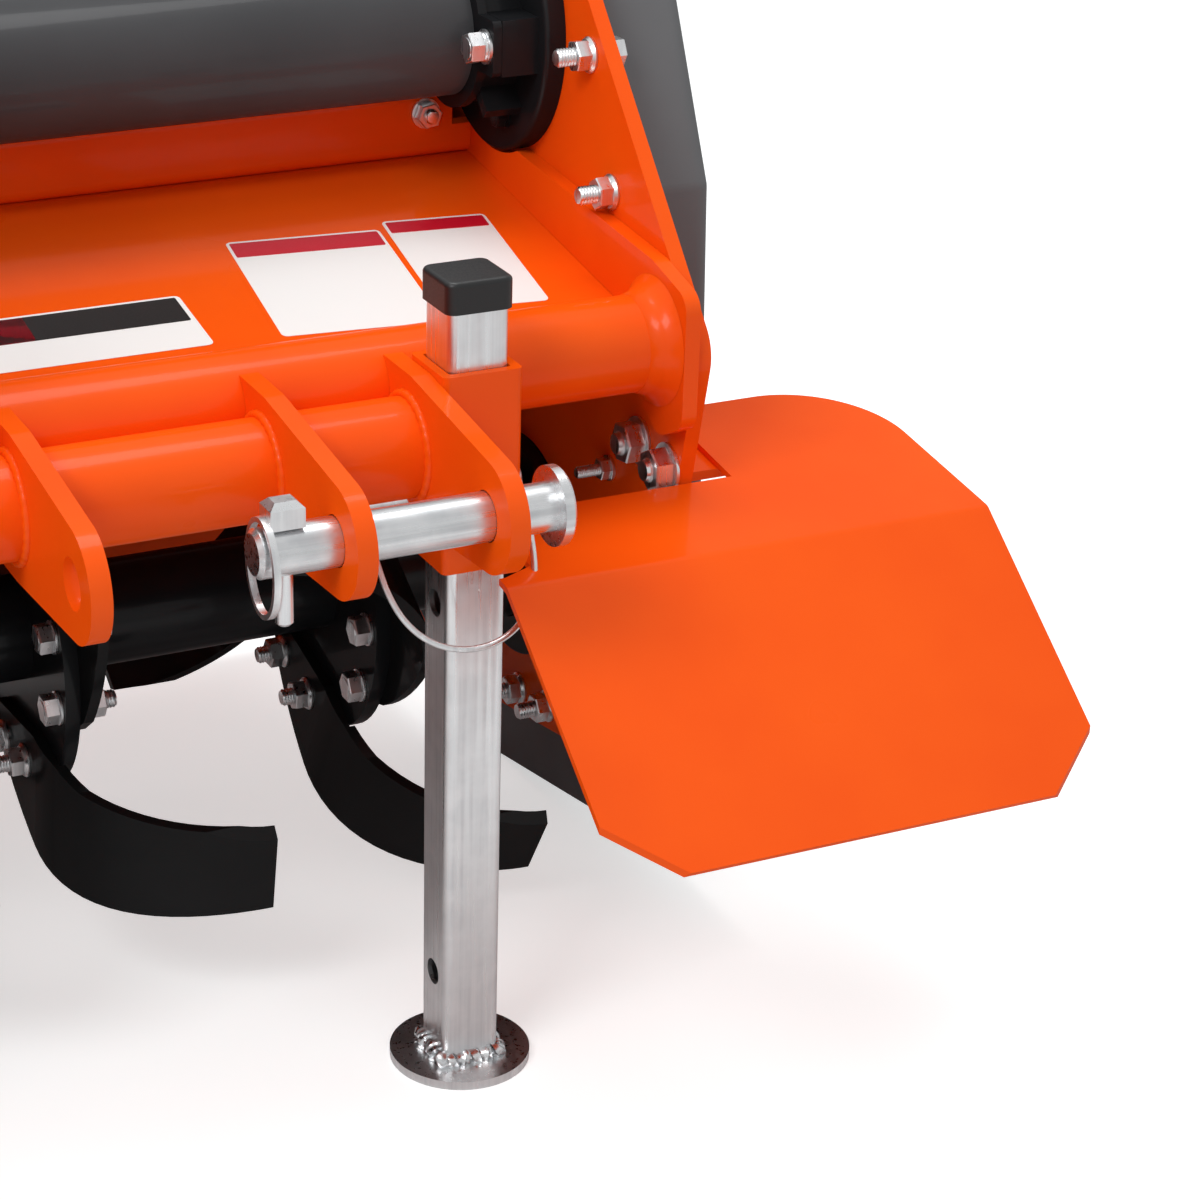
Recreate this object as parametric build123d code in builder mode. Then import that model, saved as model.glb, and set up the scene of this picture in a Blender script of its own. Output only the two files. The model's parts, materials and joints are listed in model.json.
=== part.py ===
from build123d import *
import os
from math import cos, radians, sin, sqrt, tan

os.makedirs("parts", exist_ok=True)

# Frame: X across the machine (left positive), Y rearward, Z up from the floor, in millimetres.
# The machine is parked: two front legs and the heels of its two skids stand on the floor.
# The legs are upright, and the machine leans back on its heels by park_pitch.
park_pitch = 10.0
weld_gap = 0.3
bolt_gap = 0.3

# Parking stand: square leg in a square sleeve
stand_x = 489.0
stand_y = -212.0
leg_side = 38.0
leg_wall = 3.0
leg_corner = 5.5
leg_top = 511.0
foot_radius = 45.0
foot_thickness = 6.0
sleeve_side = 50.0
leg_gap = 0.4
sleeve_bore = leg_side + 2 * leg_gap
sleeve_low = 348.0
sleeve_high = 470.0
lock_hole_radius = 8.5
lock_z = 394.0
leg_hole_z = (65.0, 320.0, lock_z)
cap_side = 42.0
cap_top = 13.0
cap_skirt = 6.0

# Hitch: front tube, lugs and the two lower pins
hitch_tube_radius = 30.0
hitch_tube_wall = 5.0
hitch_tube_y = stand_y - 2.0
hitch_tube_z = 423.0
lug_thickness = 12.0
lug_nose_radius = 33.0
lug_collar_radius = 44.0
pin_y = stand_y - 110.0
pin_z = 420.0
pin_radius = 14.2
pin_clearance = 0.6
lug_clear_gap = 78.0
inner_lug_gap = 136.5
pin_tip_overhang = 48.0
pin_shoulder = 26.0
pin_collar_radius = 19.0
pin_collar_thickness = 4.0
pin_flange_radius = 23.0
pin_flange_thickness = 7.0
pin_point = 2.5
linch_inset = 18.0
linch_radius = 5.1
linch_hole_radius = 5.5
linch_drop = 44.0
linch_head = (20.0, 17.0, 15.0)
linch_ring = (22.5, 29.0)
linch_ring_wire = 3.0
linch_ring_width = 4.0

# Main frame
main_tube_radius = 30.0
main_tube_wall = 5.0
main_tube_y = stand_y + sleeve_side / 2 + main_tube_radius + weld_gap
main_tube_z = 444.0
frame_plate_inner_x = 639.6
frame_plate_thickness = 10.0
side_plate_thickness = 10.0

# Rotor
rotor_y = stand_y + 252.0
rotor_z = 233.0
rotor_tube_radius = 35.0
rotor_tube_wall = 7.0
flange_radius = 104.0
flange_thickness = 10.0
flange_outer_x = 499.0
flange_pitch = 212.0
tine_first_angle = 59.0
tine_lead = 20.0
tine_thickness = 7.0
tine_reach = 109.0
tine_depth = 190.0
tine_bend_radius = 125.0
tine_head_z = 22.0
tine_lead_y = 108.0
tine_bulge_y = 136.0
tine_tip_y = 116.5
tine_trail_y = 52.0
tine_notch = 10.0
rotor_tube_end = 596.0
rotor_end_flange_radius = 62.0
rotor_end_flange_thickness = 12.0
stub_radius = 25.0
running_gap = 0.4
hub_radius = 78.0
hub_base = 12.0
hub_boss_radius = 50.0
hub_boss_length = 12.0

# Cross shaft and gearbox
shaft_y = stand_y + 290.0
shaft_z = 590.0
shaft_tube_radius = 44.5
gearbox_hub_radius = 58.0
shaft_tube_wall = 4.0
shaft_tube_end = 603.7
tube_flange_radius = 53.0
tube_flange_thickness = 6.0
tube_ear_reach = 73.0
tube_ear_height = 36.0
housing_base_radius = 84.0
housing_base_thickness = 14.0
housing_neck_radius = 50.0
housing_rib_thickness = 8.0
housing_rib_reach = 68.0
gearbox_half_width = 85.0
gearbox_front = 112.0
gearbox_back = 96.0
gearbox_cap = 8.0
gearbox_hub_rim = 9.0
input_radius = 17.45
input_length = 96.0
guard_radius = 78.0
guard_length = 128.0
guard_wall = 3.5

# Hood: folded deck, box beam and rear flap
deck_thickness = 4.0
deck_front_z = 452.0
beam_front_y = stand_y + 328.0
beam_depth = 110.0
beam_low_z = 492.0
beam_height = 46.0
beam_wall = 5.0
hinge_y = stand_y + 524.0
hinge_z = 428.0
hinge_pin_radius = 8.0
hinge_eye_radius = 14.0
flap_thickness = 4.0
flap_lean = 11.5
flap_bottom_z = 62.0
flap_knee_y = 50.0
flap_knee_drop = 120.0
flap_knee_radius = 150.0
flap_lip = 30.0
flap_lip_drop = 14.0

# Wing guards beside the tractor wheels
wing_inner_x = stand_x + 6.0
wing_outer_x = stand_x + 335.0
wing_thickness = 4.0
wing_slope = 8.0
wing_bend_y = stand_y - 47.5
wing_bend_z = 344.0
wing_back_y = stand_y + 124.0
wing_front_y = stand_y - 205.0
wing_front_slope = 37.0
wing_corner_radius = 72.0
wing_chamfer_x = 43.0
wing_chamfer_y = 31.0

# Drive case and skids
case_depth = 69.0
case_low_radius = 117.0
case_high_radius = 92.0
case_edge = 14.0
skid_offset = 32.0
skid_thickness = 6.0
skid_sole_width = 44.0
skid_sole_thickness = 8.0
skid_case_gap = 6.0
heel_y = stand_y + 392.0
heel_radius = 70.0
spacer_radius = 14.0
spacer_front = (stand_y + 135.0, 150.0)
spacer_rear = (stand_y + 400.0, 112.0)

# Mast
mast_width = 54.0
mast_thickness = 12.0
mast_foot_x = 128.0
mast_head_gap = 52.0
mast_height = 483.0
top_pin_radius = 12.7
top_pin_clearance = 0.2
brace_width = 45.0
brace_thickness = 8.0

# Places worked out from the values above
sleeve_left_x = stand_x - sleeve_side / 2
side_plate_x = frame_plate_inner_x + frame_plate_thickness + bolt_gap
side_plate_outer_x = side_plate_x + side_plate_thickness
lug_outer_x = sleeve_left_x - lug_thickness
lug_middle_x = lug_outer_x - lug_clear_gap - lug_thickness
lug_inner_x = lug_middle_x - inner_lug_gap - lug_thickness


def mirrored(builder):
    """The same piece on the other side of the machine."""
    with BuildPart() as other:
        mirror(builder.part, about=Plane.YZ)
    return other


def across(x):
    """Profile plane at x: its first axis is Y and its second is Z."""
    return Plane(origin=(x, 0, 0), x_dir=(0, 1, 0), z_dir=(1, 0, 0))


def along_shaft(forward):
    """Plane square to the input shaft, that far in front of the cross shaft."""
    pitch = radians(park_pitch)
    origin = (0, shaft_y - forward * cos(pitch), shaft_z + forward * sin(pitch))
    return Plane(origin=origin, x_dir=(1, 0, 0), z_dir=(0, -cos(pitch), sin(pitch)))


# Main cross tube, welded between the two frame plates
with BuildPart() as main_cross_tube:
    with BuildSketch(across(-frame_plate_inner_x)) as s:
        with Locations((main_tube_y, main_tube_z)):
            Circle(main_tube_radius)
            Circle(main_tube_radius - main_tube_wall, mode=Mode.SUBTRACT)
    extrude(amount=2 * frame_plate_inner_x)

# Hitch tube, from the mast strap to the stand's sleeve
hitch_tube_start = mast_foot_x + mast_thickness + weld_gap
with BuildPart() as hitch_tube_left:
    with BuildSketch(across(hitch_tube_start)) as s:
        with Locations((hitch_tube_y, hitch_tube_z)):
            Circle(hitch_tube_radius)
            Circle(hitch_tube_radius - hitch_tube_wall, mode=Mode.SUBTRACT)
    extrude(amount=sleeve_left_x - weld_gap - hitch_tube_start)
hitch_tube_right = mirrored(hitch_tube_left)

# Lugs: each wraps the hitch tube, backs on to the main tube and carries the lower pin in its nose
with BuildSketch() as lug_profile:
    with Locations((hitch_tube_y, hitch_tube_z)):
        Circle(lug_collar_radius)
    with Locations((pin_y, pin_z)):
        Circle(lug_nose_radius)
    make_hull()
    with Locations((hitch_tube_y + lug_collar_radius / 2, hitch_tube_z)):
        Rectangle(lug_collar_radius, 2 * lug_collar_radius)
    with Locations((main_tube_y, main_tube_z)):
        Circle(main_tube_radius + weld_gap, mode=Mode.SUBTRACT)
    with Locations((hitch_tube_y, hitch_tube_z)):
        Circle(hitch_tube_radius + weld_gap, mode=Mode.SUBTRACT)
    with Locations((pin_y, pin_z)):
        Circle(pin_radius + pin_clearance, mode=Mode.SUBTRACT)
with BuildPart() as hitch_lugs_left:
    for lug_x in (lug_inner_x, lug_middle_x, lug_outer_x - weld_gap):
        with BuildSketch(across(lug_x)):
            add(lug_profile.sketch)
        extrude(amount=lug_thickness)
hitch_lugs_right = mirrored(hitch_lugs_left)

# Lower hitch pin: shoulder and flange outside, free tip inside with a hole for the linch pin
pin_tip_x = lug_middle_x - pin_tip_overhang
pin_end_x = sleeve_left_x + pin_shoulder
linch_x = pin_tip_x + linch_inset
with BuildPart() as hitch_pin_left:
    with BuildSketch(across(pin_tip_x)):
        with Locations((pin_y, pin_z)):
            Circle(pin_radius)
    extrude(amount=pin_end_x + pin_flange_thickness - pin_tip_x)
    chamfer(faces().sort_by(Axis.X)[0].edges(), length=pin_point)
    with BuildSketch(across(sleeve_left_x + pin_clearance)):
        with Locations((pin_y, pin_z)):
            Circle(pin_collar_radius)
    extrude(amount=pin_collar_thickness)
    with BuildSketch(across(pin_end_x)):
        with Locations((pin_y, pin_z)):
            Circle(pin_flange_radius)
    extrude(amount=pin_flange_thickness)
    chamfer(faces().sort_by(Axis.X)[-1].edges(), length=1.5)
    with BuildSketch(Plane.XY.offset(pin_z - 2 * pin_radius)):
        with Locations((linch_x, pin_y)):
            Circle(linch_hole_radius)
    extrude(amount=4 * pin_radius, mode=Mode.SUBTRACT)
hitch_pin_right = mirrored(hitch_pin_left)

# Linch pin: peg through the hitch pin, faceted head on top, and the flat ring that springs from
# the head's inner side round the hitch pin and under the peg
with BuildPart() as linch_pin_left:
    with BuildSketch(Plane.XY.offset(pin_z - linch_drop)):
        with Locations((linch_x, pin_y)):
            Circle(linch_radius)
    extrude(amount=linch_drop + pin_radius + weld_gap)
    chamfer(faces().sort_by(Axis.Z)[0].edges(), length=linch_radius / 3)
    with BuildSketch(Plane.XY.offset(pin_z + pin_radius + weld_gap)):
        with Locations((linch_x, pin_y)):
            Rectangle(linch_head[0], linch_head[1])
    extrude(amount=linch_head[2])
    chamfer(faces().sort_by(Axis.Z)[-1].edges(), length=linch_head[2] / 4)
    with BuildSketch(across(linch_x - linch_head[0] / 2 - linch_ring_width + weld_gap)):
        with Locations((pin_y, pin_z + pin_radius + 2 * linch_ring_wire - linch_ring[1])):
            Ellipse(*linch_ring)
            Ellipse(linch_ring[0] - linch_ring_wire, linch_ring[1] - linch_ring_wire, mode=Mode.SUBTRACT)
    extrude(amount=linch_ring_width)
linch_pin_right = mirrored(linch_pin_left)

# Sleeve that the stand slides in
with BuildPart() as stand_sleeve_left:
    with BuildSketch(Plane.XY.offset(sleeve_low)):
        with Locations((stand_x, stand_y)):
            RectangleRounded(sleeve_side, sleeve_side, 4)
            RectangleRounded(sleeve_bore, sleeve_bore, 2, mode=Mode.SUBTRACT)
    extrude(amount=sleeve_high - sleeve_low)
    with BuildSketch(across(sleeve_left_x - 1)):
        with Locations((stand_y, lock_z)):
            Circle(lock_hole_radius)
    extrude(amount=sleeve_side + 2, mode=Mode.SUBTRACT)
stand_sleeve_right = mirrored(stand_sleeve_left)

# Leg with its round foot, and the cap on its top
with BuildPart() as stand_leg_left:
    with BuildSketch(Plane.XY):
        with Locations((stand_x, stand_y)):
            Circle(foot_radius)
    extrude(amount=foot_thickness)
    with BuildSketch(Plane.XY.offset(foot_thickness)):
        with Locations((stand_x, stand_y)):
            RectangleRounded(leg_side, leg_side, leg_corner)
            RectangleRounded(
                leg_side - 2 * leg_wall, leg_side - 2 * leg_wall, leg_corner - leg_wall, mode=Mode.SUBTRACT
            )
    extrude(amount=leg_top - foot_thickness)
    for hole_z in leg_hole_z:
        with BuildSketch(across(stand_x - leg_side)):
            with Locations((stand_y, hole_z)):
                Circle(lock_hole_radius)
        extrude(amount=2 * leg_side, mode=Mode.SUBTRACT)
stand_leg_right = mirrored(stand_leg_left)

with BuildPart() as stand_cap_left:
    with BuildSketch(Plane.XY.offset(leg_top - cap_skirt)):
        with Locations((stand_x, stand_y)):
            RectangleRounded(cap_side, cap_side, leg_corner + 1)
            RectangleRounded(leg_side + weld_gap, leg_side + weld_gap, leg_corner, mode=Mode.SUBTRACT)
    extrude(amount=cap_skirt + weld_gap)
    with BuildSketch(Plane.XY.offset(leg_top + weld_gap)):
        with Locations((stand_x, stand_y)):
            RectangleRounded(cap_side, cap_side, leg_corner + 1)
    extrude(amount=cap_top - weld_gap)
    fillet(faces().sort_by(Axis.Z)[-1].edges(), radius=3)
stand_cap_right = mirrored(stand_cap_left)

# Side plate and frame plate outlines: sloped front edge, round nose, bottom edge square to the pitch
nose_radius = 45.0
plate_bottom_slope = tan(radians(park_pitch))
side_outline = (
    (stand_y + 15, 448),
    (stand_y + 235, 690),
    (stand_y + 352, 690 - 117 * plate_bottom_slope),
    (stand_y + 498, 500),
    (stand_y + 546, 190),
    (stand_y + 486, 117 - 336 * plate_bottom_slope),
    (stand_y + 150, 117),
    (stand_y + 71, 190),
)
with BuildPart() as side_plate_left:
    with BuildSketch(across(side_plate_x)) as s:
        with BuildLine():
            Polyline(*side_outline, close=True)
        make_face()
        fillet(s.vertices(), radius=28)
        with Locations((rotor_y, rotor_z)):
            Circle(stub_radius + 8, mode=Mode.SUBTRACT)
        with Locations((shaft_y, shaft_z)):
            Circle(stub_radius, mode=Mode.SUBTRACT)
    extrude(amount=side_plate_thickness)
side_plate_right = mirrored(side_plate_left)

frame_outline = (
    (stand_y + 14, 482),
    (stand_y + 60, 494),
    (stand_y + 260, 512),
    (stand_y + 300, 548),
    (stand_y + 450, 548),
    (stand_y + 548, 460),
    (stand_y + 548, 402),
    (stand_y + 506, 402),
    (stand_y + 420, 458),
    (stand_y + 120, 430),
    (stand_y + 44, 385),
    (stand_y + 14, 400),
)
with BuildPart() as frame_plate_left:
    with BuildSketch(across(frame_plate_inner_x)) as s:
        with BuildLine():
            Polyline(*frame_outline, close=True)
        make_face()
        fillet(s.vertices(), radius=14)
        with Locations((shaft_y, shaft_z)):
            Circle(housing_base_radius + 2, mode=Mode.SUBTRACT)
    extrude(amount=frame_plate_thickness)
frame_plate_right = mirrored(frame_plate_left)

# Folded deck over the rotor
deck_line = (
    (main_tube_y + main_tube_radius + weld_gap, deck_front_z),
    (beam_front_y + 2, beam_low_z - weld_gap),
    (beam_front_y + beam_depth - 4, beam_low_z - weld_gap),
    (hinge_y - hinge_eye_radius - 6, hinge_z + 14),
)
with BuildPart() as deck:
    with BuildSketch(across(-frame_plate_inner_x + weld_gap)):
        with BuildLine():
            FilletPolyline(*deck_line, radius=12)
            offset(amount=deck_thickness, side=Side.RIGHT)
        make_face()
    extrude(amount=2 * (frame_plate_inner_x - weld_gap))

# Box beam across the deck, under the cross shaft
with BuildPart() as shaft_beam:
    with BuildSketch(across(-frame_plate_inner_x + weld_gap)):
        with Locations((beam_front_y + beam_depth / 2, beam_low_z + beam_height / 2)):
            RectangleRounded(beam_depth, beam_height, 8)
            RectangleRounded(beam_depth - 2 * beam_wall, beam_height - 2 * beam_wall, 3, mode=Mode.SUBTRACT)
    extrude(amount=2 * (frame_plate_inner_x - weld_gap))
    for x in (-frame_plate_inner_x, frame_plate_inner_x - housing_base_thickness):
        with BuildSketch(across(x)):
            with Locations((shaft_y, shaft_z)):
                Circle(housing_base_radius + 2)
        extrude(amount=housing_base_thickness, mode=Mode.SUBTRACT)

# Rotor tube with its six flanges and two end flanges
flange_x = (
    flange_outer_x,
    flange_outer_x - flange_pitch,
    (flange_outer_x - flange_pitch) / 3,
    -(flange_outer_x - flange_pitch) / 3,
    -flange_outer_x + flange_pitch,
    -flange_outer_x,
)
with BuildPart() as rotor_tube:
    with BuildSketch(across(-rotor_tube_end)):
        with Locations((rotor_y, rotor_z)):
            Circle(rotor_tube_radius)
            Circle(rotor_tube_radius - rotor_tube_wall, mode=Mode.SUBTRACT)
    extrude(amount=2 * rotor_tube_end)
    for x in flange_x:
        with BuildSketch(across(x - flange_thickness / 2)):
            with Locations((rotor_y, rotor_z)):
                Circle(flange_radius)
                Circle(rotor_tube_radius - 2, mode=Mode.SUBTRACT)
        extrude(amount=flange_thickness)
    for x in (-rotor_tube_end, rotor_tube_end - rotor_end_flange_thickness):
        with BuildSketch(across(x)):
            with Locations((rotor_y, rotor_z)):
                Circle(rotor_end_flange_radius)
        extrude(amount=rotor_end_flange_thickness)

# Stub shafts at the rotor's ends
with BuildPart() as rotor_stub_left:
    with BuildSketch(across(rotor_tube_end + weld_gap)):
        with Locations((rotor_y, rotor_z)):
            Circle(rotor_end_flange_radius)
    extrude(amount=rotor_end_flange_thickness)
    with BuildSketch(across(rotor_tube_end + weld_gap)):
        with Locations((rotor_y, rotor_z)):
            Circle(stub_radius)
    extrude(amount=side_plate_outer_x - 2 - rotor_tube_end)
rotor_stub_right = mirrored(rotor_stub_left)

# One tine on the flange's inner face, its flat square to the rotor: a wide shank that sweeps in
# one round bend under the flange, cut to a bowed leading edge and a clipped tip
tine_back_x = -flange_thickness / 2 - bolt_gap - tine_thickness
with BuildPart() as tine:
    with BuildSketch(Plane.XZ.offset(-tine_bulge_y - 1)):
        with BuildLine():
            FilletPolyline(
                (tine_back_x, tine_head_z),
                (tine_back_x, -tine_depth),
                (tine_reach + 2 * tine_thickness, -tine_depth),
                radius=tine_bend_radius,
            )
            offset(amount=tine_thickness, side=Side.LEFT)
        make_face()
    extrude(amount=tine_bulge_y)
    with BuildSketch(Plane.YZ.offset(tine_back_x - 1)):
        with BuildLine():
            ThreePointArc((tine_lead_y, 5), (tine_bulge_y, -95), (tine_tip_y, -tine_depth - 1))
            Polyline(
                (tine_tip_y, -tine_depth - 1),
                (tine_trail_y + tine_notch, -tine_depth - 1),
                (tine_trail_y, -tine_depth + tine_notch),
                (tine_trail_y, -tine_bend_radius + 7),
                (tine_trail_y - 6, -92),
                (tine_trail_y - 6, -60),
                (72, tine_head_z),
                (92, tine_head_z),
                (tine_lead_y, 5),
            )
        make_face()
    extrude(amount=tine_reach - tine_back_x + 1, mode=Mode.INTERSECT)
    # relief where the bend passes the flange's rim
    with BuildSketch(Plane.YZ.offset(tine_back_x + tine_thickness)):
        Circle(flange_radius + 1)
    extrude(amount=flange_thickness, mode=Mode.SUBTRACT)


def tines(turned_left):
    """The twelve tines that throw to one side: two on each flange, half a turn apart."""
    with BuildPart() as group:
        for number, x in enumerate(flange_x):
            start = tine_first_angle + number * tine_lead
            for half_turn in (0, 180):
                if turned_left:
                    angle = start + half_turn
                    blade = tine.part
                else:
                    angle = start + 90 + half_turn
                    blade = mirror(tine.part, about=Plane.YZ, mode=Mode.PRIVATE)
                add(Pos(x, rotor_y, rotor_z) * Rot(-angle, 0, 0) * blade)
    return group


tines_left = tines(True)
tines_right = tines(False)

# Rotor bearing hubs inside the side plates
with BuildPart() as rotor_hub_left:
    with BuildSketch(across(side_plate_x - bolt_gap - hub_base)):
        with Locations((rotor_y, rotor_z)):
            Circle(hub_radius)
            Circle(stub_radius + running_gap, mode=Mode.SUBTRACT)
    extrude(amount=hub_base)
    with BuildSketch(across(side_plate_x - bolt_gap - hub_base - hub_boss_length)):
        with Locations((rotor_y, rotor_z)):
            Circle(hub_boss_radius)
            Circle(stub_radius + running_gap, mode=Mode.SUBTRACT)
    extrude(amount=hub_boss_length)
rotor_hub_right = mirrored(rotor_hub_left)

# Cross shaft tube on the drive side and its twin on the other side
with BuildPart() as cross_shaft_tube:
    with BuildSketch(across(gearbox_half_width + weld_gap)):
        with Locations((shaft_y, shaft_z)):
            Circle(shaft_tube_radius)
            Circle(shaft_tube_radius - shaft_tube_wall, mode=Mode.SUBTRACT)
    extrude(amount=shaft_tube_end - gearbox_half_width - weld_gap)
support_tube = mirrored(cross_shaft_tube)

# Thin flange on each tube's outer end: round, with a square ear before and behind
flange_start = shaft_tube_end + weld_gap
with BuildPart() as tube_flanges:
    for x in (-flange_start - tube_flange_thickness, flange_start):
        with BuildSketch(across(x)) as s:
            with Locations((shaft_y, shaft_z)):
                Rectangle(2 * tube_ear_reach, tube_ear_height)
            fillet(s.vertices(), radius=4)
            with Locations((shaft_y, shaft_z)):
                Circle(tube_flange_radius)
        extrude(amount=tube_flange_thickness)

# Cast bearing housing: round base on the side plate, neck, two square bosses that the ears bolt
# to, and ribs between them
with BuildPart() as shaft_housing_left:
    with BuildSketch(across(side_plate_x - bolt_gap - housing_base_thickness)):
        with Locations((shaft_y, shaft_z)):
            Circle(housing_base_radius)
    extrude(amount=housing_base_thickness)
    fillet(faces().sort_by(Axis.X)[0].edges(), radius=3)
    neck_start = flange_start + tube_flange_thickness + bolt_gap
    with BuildSketch(across(neck_start)):
        with Locations((shaft_y, shaft_z)):
            Circle(housing_neck_radius)
    extrude(amount=side_plate_x - bolt_gap - neck_start)
    with BuildSketch(across(neck_start)):
        with Locations((shaft_y, shaft_z)):
            Rectangle(2 * tube_ear_reach, tube_ear_height)
            with PolarLocations(housing_rib_reach / 2, 4, start_angle=45):
                Rectangle(housing_rib_reach, housing_rib_thickness)
    extrude(amount=side_plate_x - bolt_gap - neck_start)
shaft_housing_right = mirrored(shaft_housing_left)

# Gearbox on the beam, square to the pitched input shaft
with BuildPart() as gearbox:
    with BuildSketch(along_shaft(-gearbox_back)):
        RectangleRounded(2 * gearbox_half_width - 8, 2 * gearbox_hub_radius, 18)
    extrude(amount=gearbox_back + gearbox_front)
    with BuildSketch(along_shaft(-gearbox_back - gearbox_cap)):
        RectangleRounded(2 * gearbox_hub_radius, 2 * gearbox_hub_radius - 20, 14)
    extrude(amount=gearbox_cap)
    with BuildSketch(along_shaft(gearbox_front)):
        Circle(input_radius + 12)
    extrude(amount=gearbox_cap)
    for forward in (-gearbox_back / 2, 0, gearbox_back / 2):
        with BuildSketch(along_shaft(forward)):
            RectangleRounded(2 * gearbox_half_width, 2 * gearbox_hub_radius + gearbox_cap, 22)
        extrude(amount=gearbox_cap)
    with BuildSketch(across(-gearbox_half_width)):
        with Locations((shaft_y, shaft_z)):
            Circle(gearbox_hub_radius)
    extrude(amount=2 * gearbox_half_width)
    for x in (-gearbox_half_width, gearbox_half_width - gearbox_cap):
        with BuildSketch(across(x)):
            with Locations((shaft_y, shaft_z)):
                Circle(gearbox_hub_radius + gearbox_hub_rim)
        extrude(amount=gearbox_cap)
    with BuildSketch(Plane.XY.offset(beam_low_z + beam_height + bolt_gap)):
        with Locations((0, shaft_y + 8)):
            RectangleRounded(2 * gearbox_half_width, beam_depth - 14, 10)
    extrude(amount=12)
    with BuildSketch(Plane.XY.offset(beam_low_z + beam_height + bolt_gap)):
        with Locations((0, shaft_y)):
            Rectangle(4 * gearbox_front, 4 * gearbox_front)
    extrude(amount=-gearbox_front, mode=Mode.SUBTRACT)
    with BuildSketch(along_shaft(0)):
        Circle(input_radius + running_gap)
    extrude(amount=2 * gearbox_front, mode=Mode.SUBTRACT)

# Input shaft: six splines, 1 3/8 inch
with BuildPart() as input_shaft:
    with BuildSketch(along_shaft(2)):
        Circle(input_radius)
    extrude(amount=gearbox_front - 2 + input_length)
    chamfer(faces().sort_by(Axis.Y)[0].edges(), length=2)

# Guard round the input shaft
with BuildPart() as shaft_guard:
    with BuildSketch(along_shaft(gearbox_front + bolt_gap)):
        Circle(guard_radius - 14)
        Circle(input_radius + 14, mode=Mode.SUBTRACT)
    extrude(amount=guard_wall)
    with BuildSketch(along_shaft(gearbox_front + bolt_gap)):
        Circle(guard_radius)
        Circle(guard_radius - guard_wall, mode=Mode.SUBTRACT)
    extrude(amount=guard_length)
    with BuildSketch(along_shaft(gearbox_front + bolt_gap)):
        Circle(guard_radius)
        Circle(guard_radius - 16, mode=Mode.SUBTRACT)
    extrude(amount=guard_wall)

# Mast: two bent straps that meet above the input shaft, with a bore for the top link's pin
mast_head_x = mast_head_gap / 2
mast_top_z = pin_z + mast_height
mast_line = (
    (mast_foot_x, hitch_tube_z - hitch_tube_radius - 12),
    (mast_foot_x, shaft_z + 90),
    (mast_head_x, mast_top_z - 110),
    (mast_head_x, mast_top_z + 34),
)
with BuildPart() as mast_left:
    with BuildSketch(Plane.XZ.offset(-(hitch_tube_y + mast_width / 2))):
        with BuildLine():
            FilletPolyline(*mast_line, radius=25)
            offset(amount=mast_thickness, side=Side.RIGHT)
        make_face()
    extrude(amount=mast_width)
    with BuildSketch(across(0)):
        with Locations((hitch_tube_y, mast_top_z)):
            Circle(top_pin_radius + top_pin_clearance)
    extrude(amount=mast_foot_x, mode=Mode.SUBTRACT)
mast_right = mirrored(mast_left)

# Braces from the mast's head, past the gearbox, down to lugs on the beam
brace_head = (hitch_tube_y, mast_top_z - 62)
brace_foot = (beam_front_y + beam_depth - 10, beam_low_z + beam_height + 50)
brace_run = brace_foot[0] - brace_head[0]
brace_drop = brace_head[1] - brace_foot[1]
brace_length = sqrt(brace_run**2 + brace_drop**2)
brace_head_x = mast_head_x + mast_thickness + weld_gap
brace_foot_x = gearbox_half_width + 16
brace_plane = Plane(
    origin=(0, brace_head[0], brace_head[1]),
    x_dir=(1, 0, 0),
    z_dir=(0, brace_drop / brace_length, brace_run / brace_length),
)
with BuildPart() as brace_left:
    with BuildSketch(brace_plane):
        with BuildLine():
            FilletPolyline(
                (brace_head_x, -brace_width / 2),
                (brace_head_x, 40),
                (brace_foot_x, 150),
                (brace_foot_x, brace_length + brace_width / 2),
                radius=20,
            )
            offset(amount=brace_thickness, side=Side.RIGHT)
        make_face()
    extrude(amount=brace_width / 2, both=True)
brace_right = mirrored(brace_left)

with BuildPart() as brace_lugs:
    for x in (-brace_foot_x + weld_gap, brace_foot_x - weld_gap - mast_thickness):
        with BuildSketch(across(x)):
            with Locations(brace_foot):
                Circle(brace_width / 2)
            with Locations((brace_foot[0] - 16, beam_low_z + beam_height + weld_gap + 5)):
                Rectangle(brace_width - 6, 10)
            make_hull()
        extrude(amount=mast_thickness)

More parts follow.
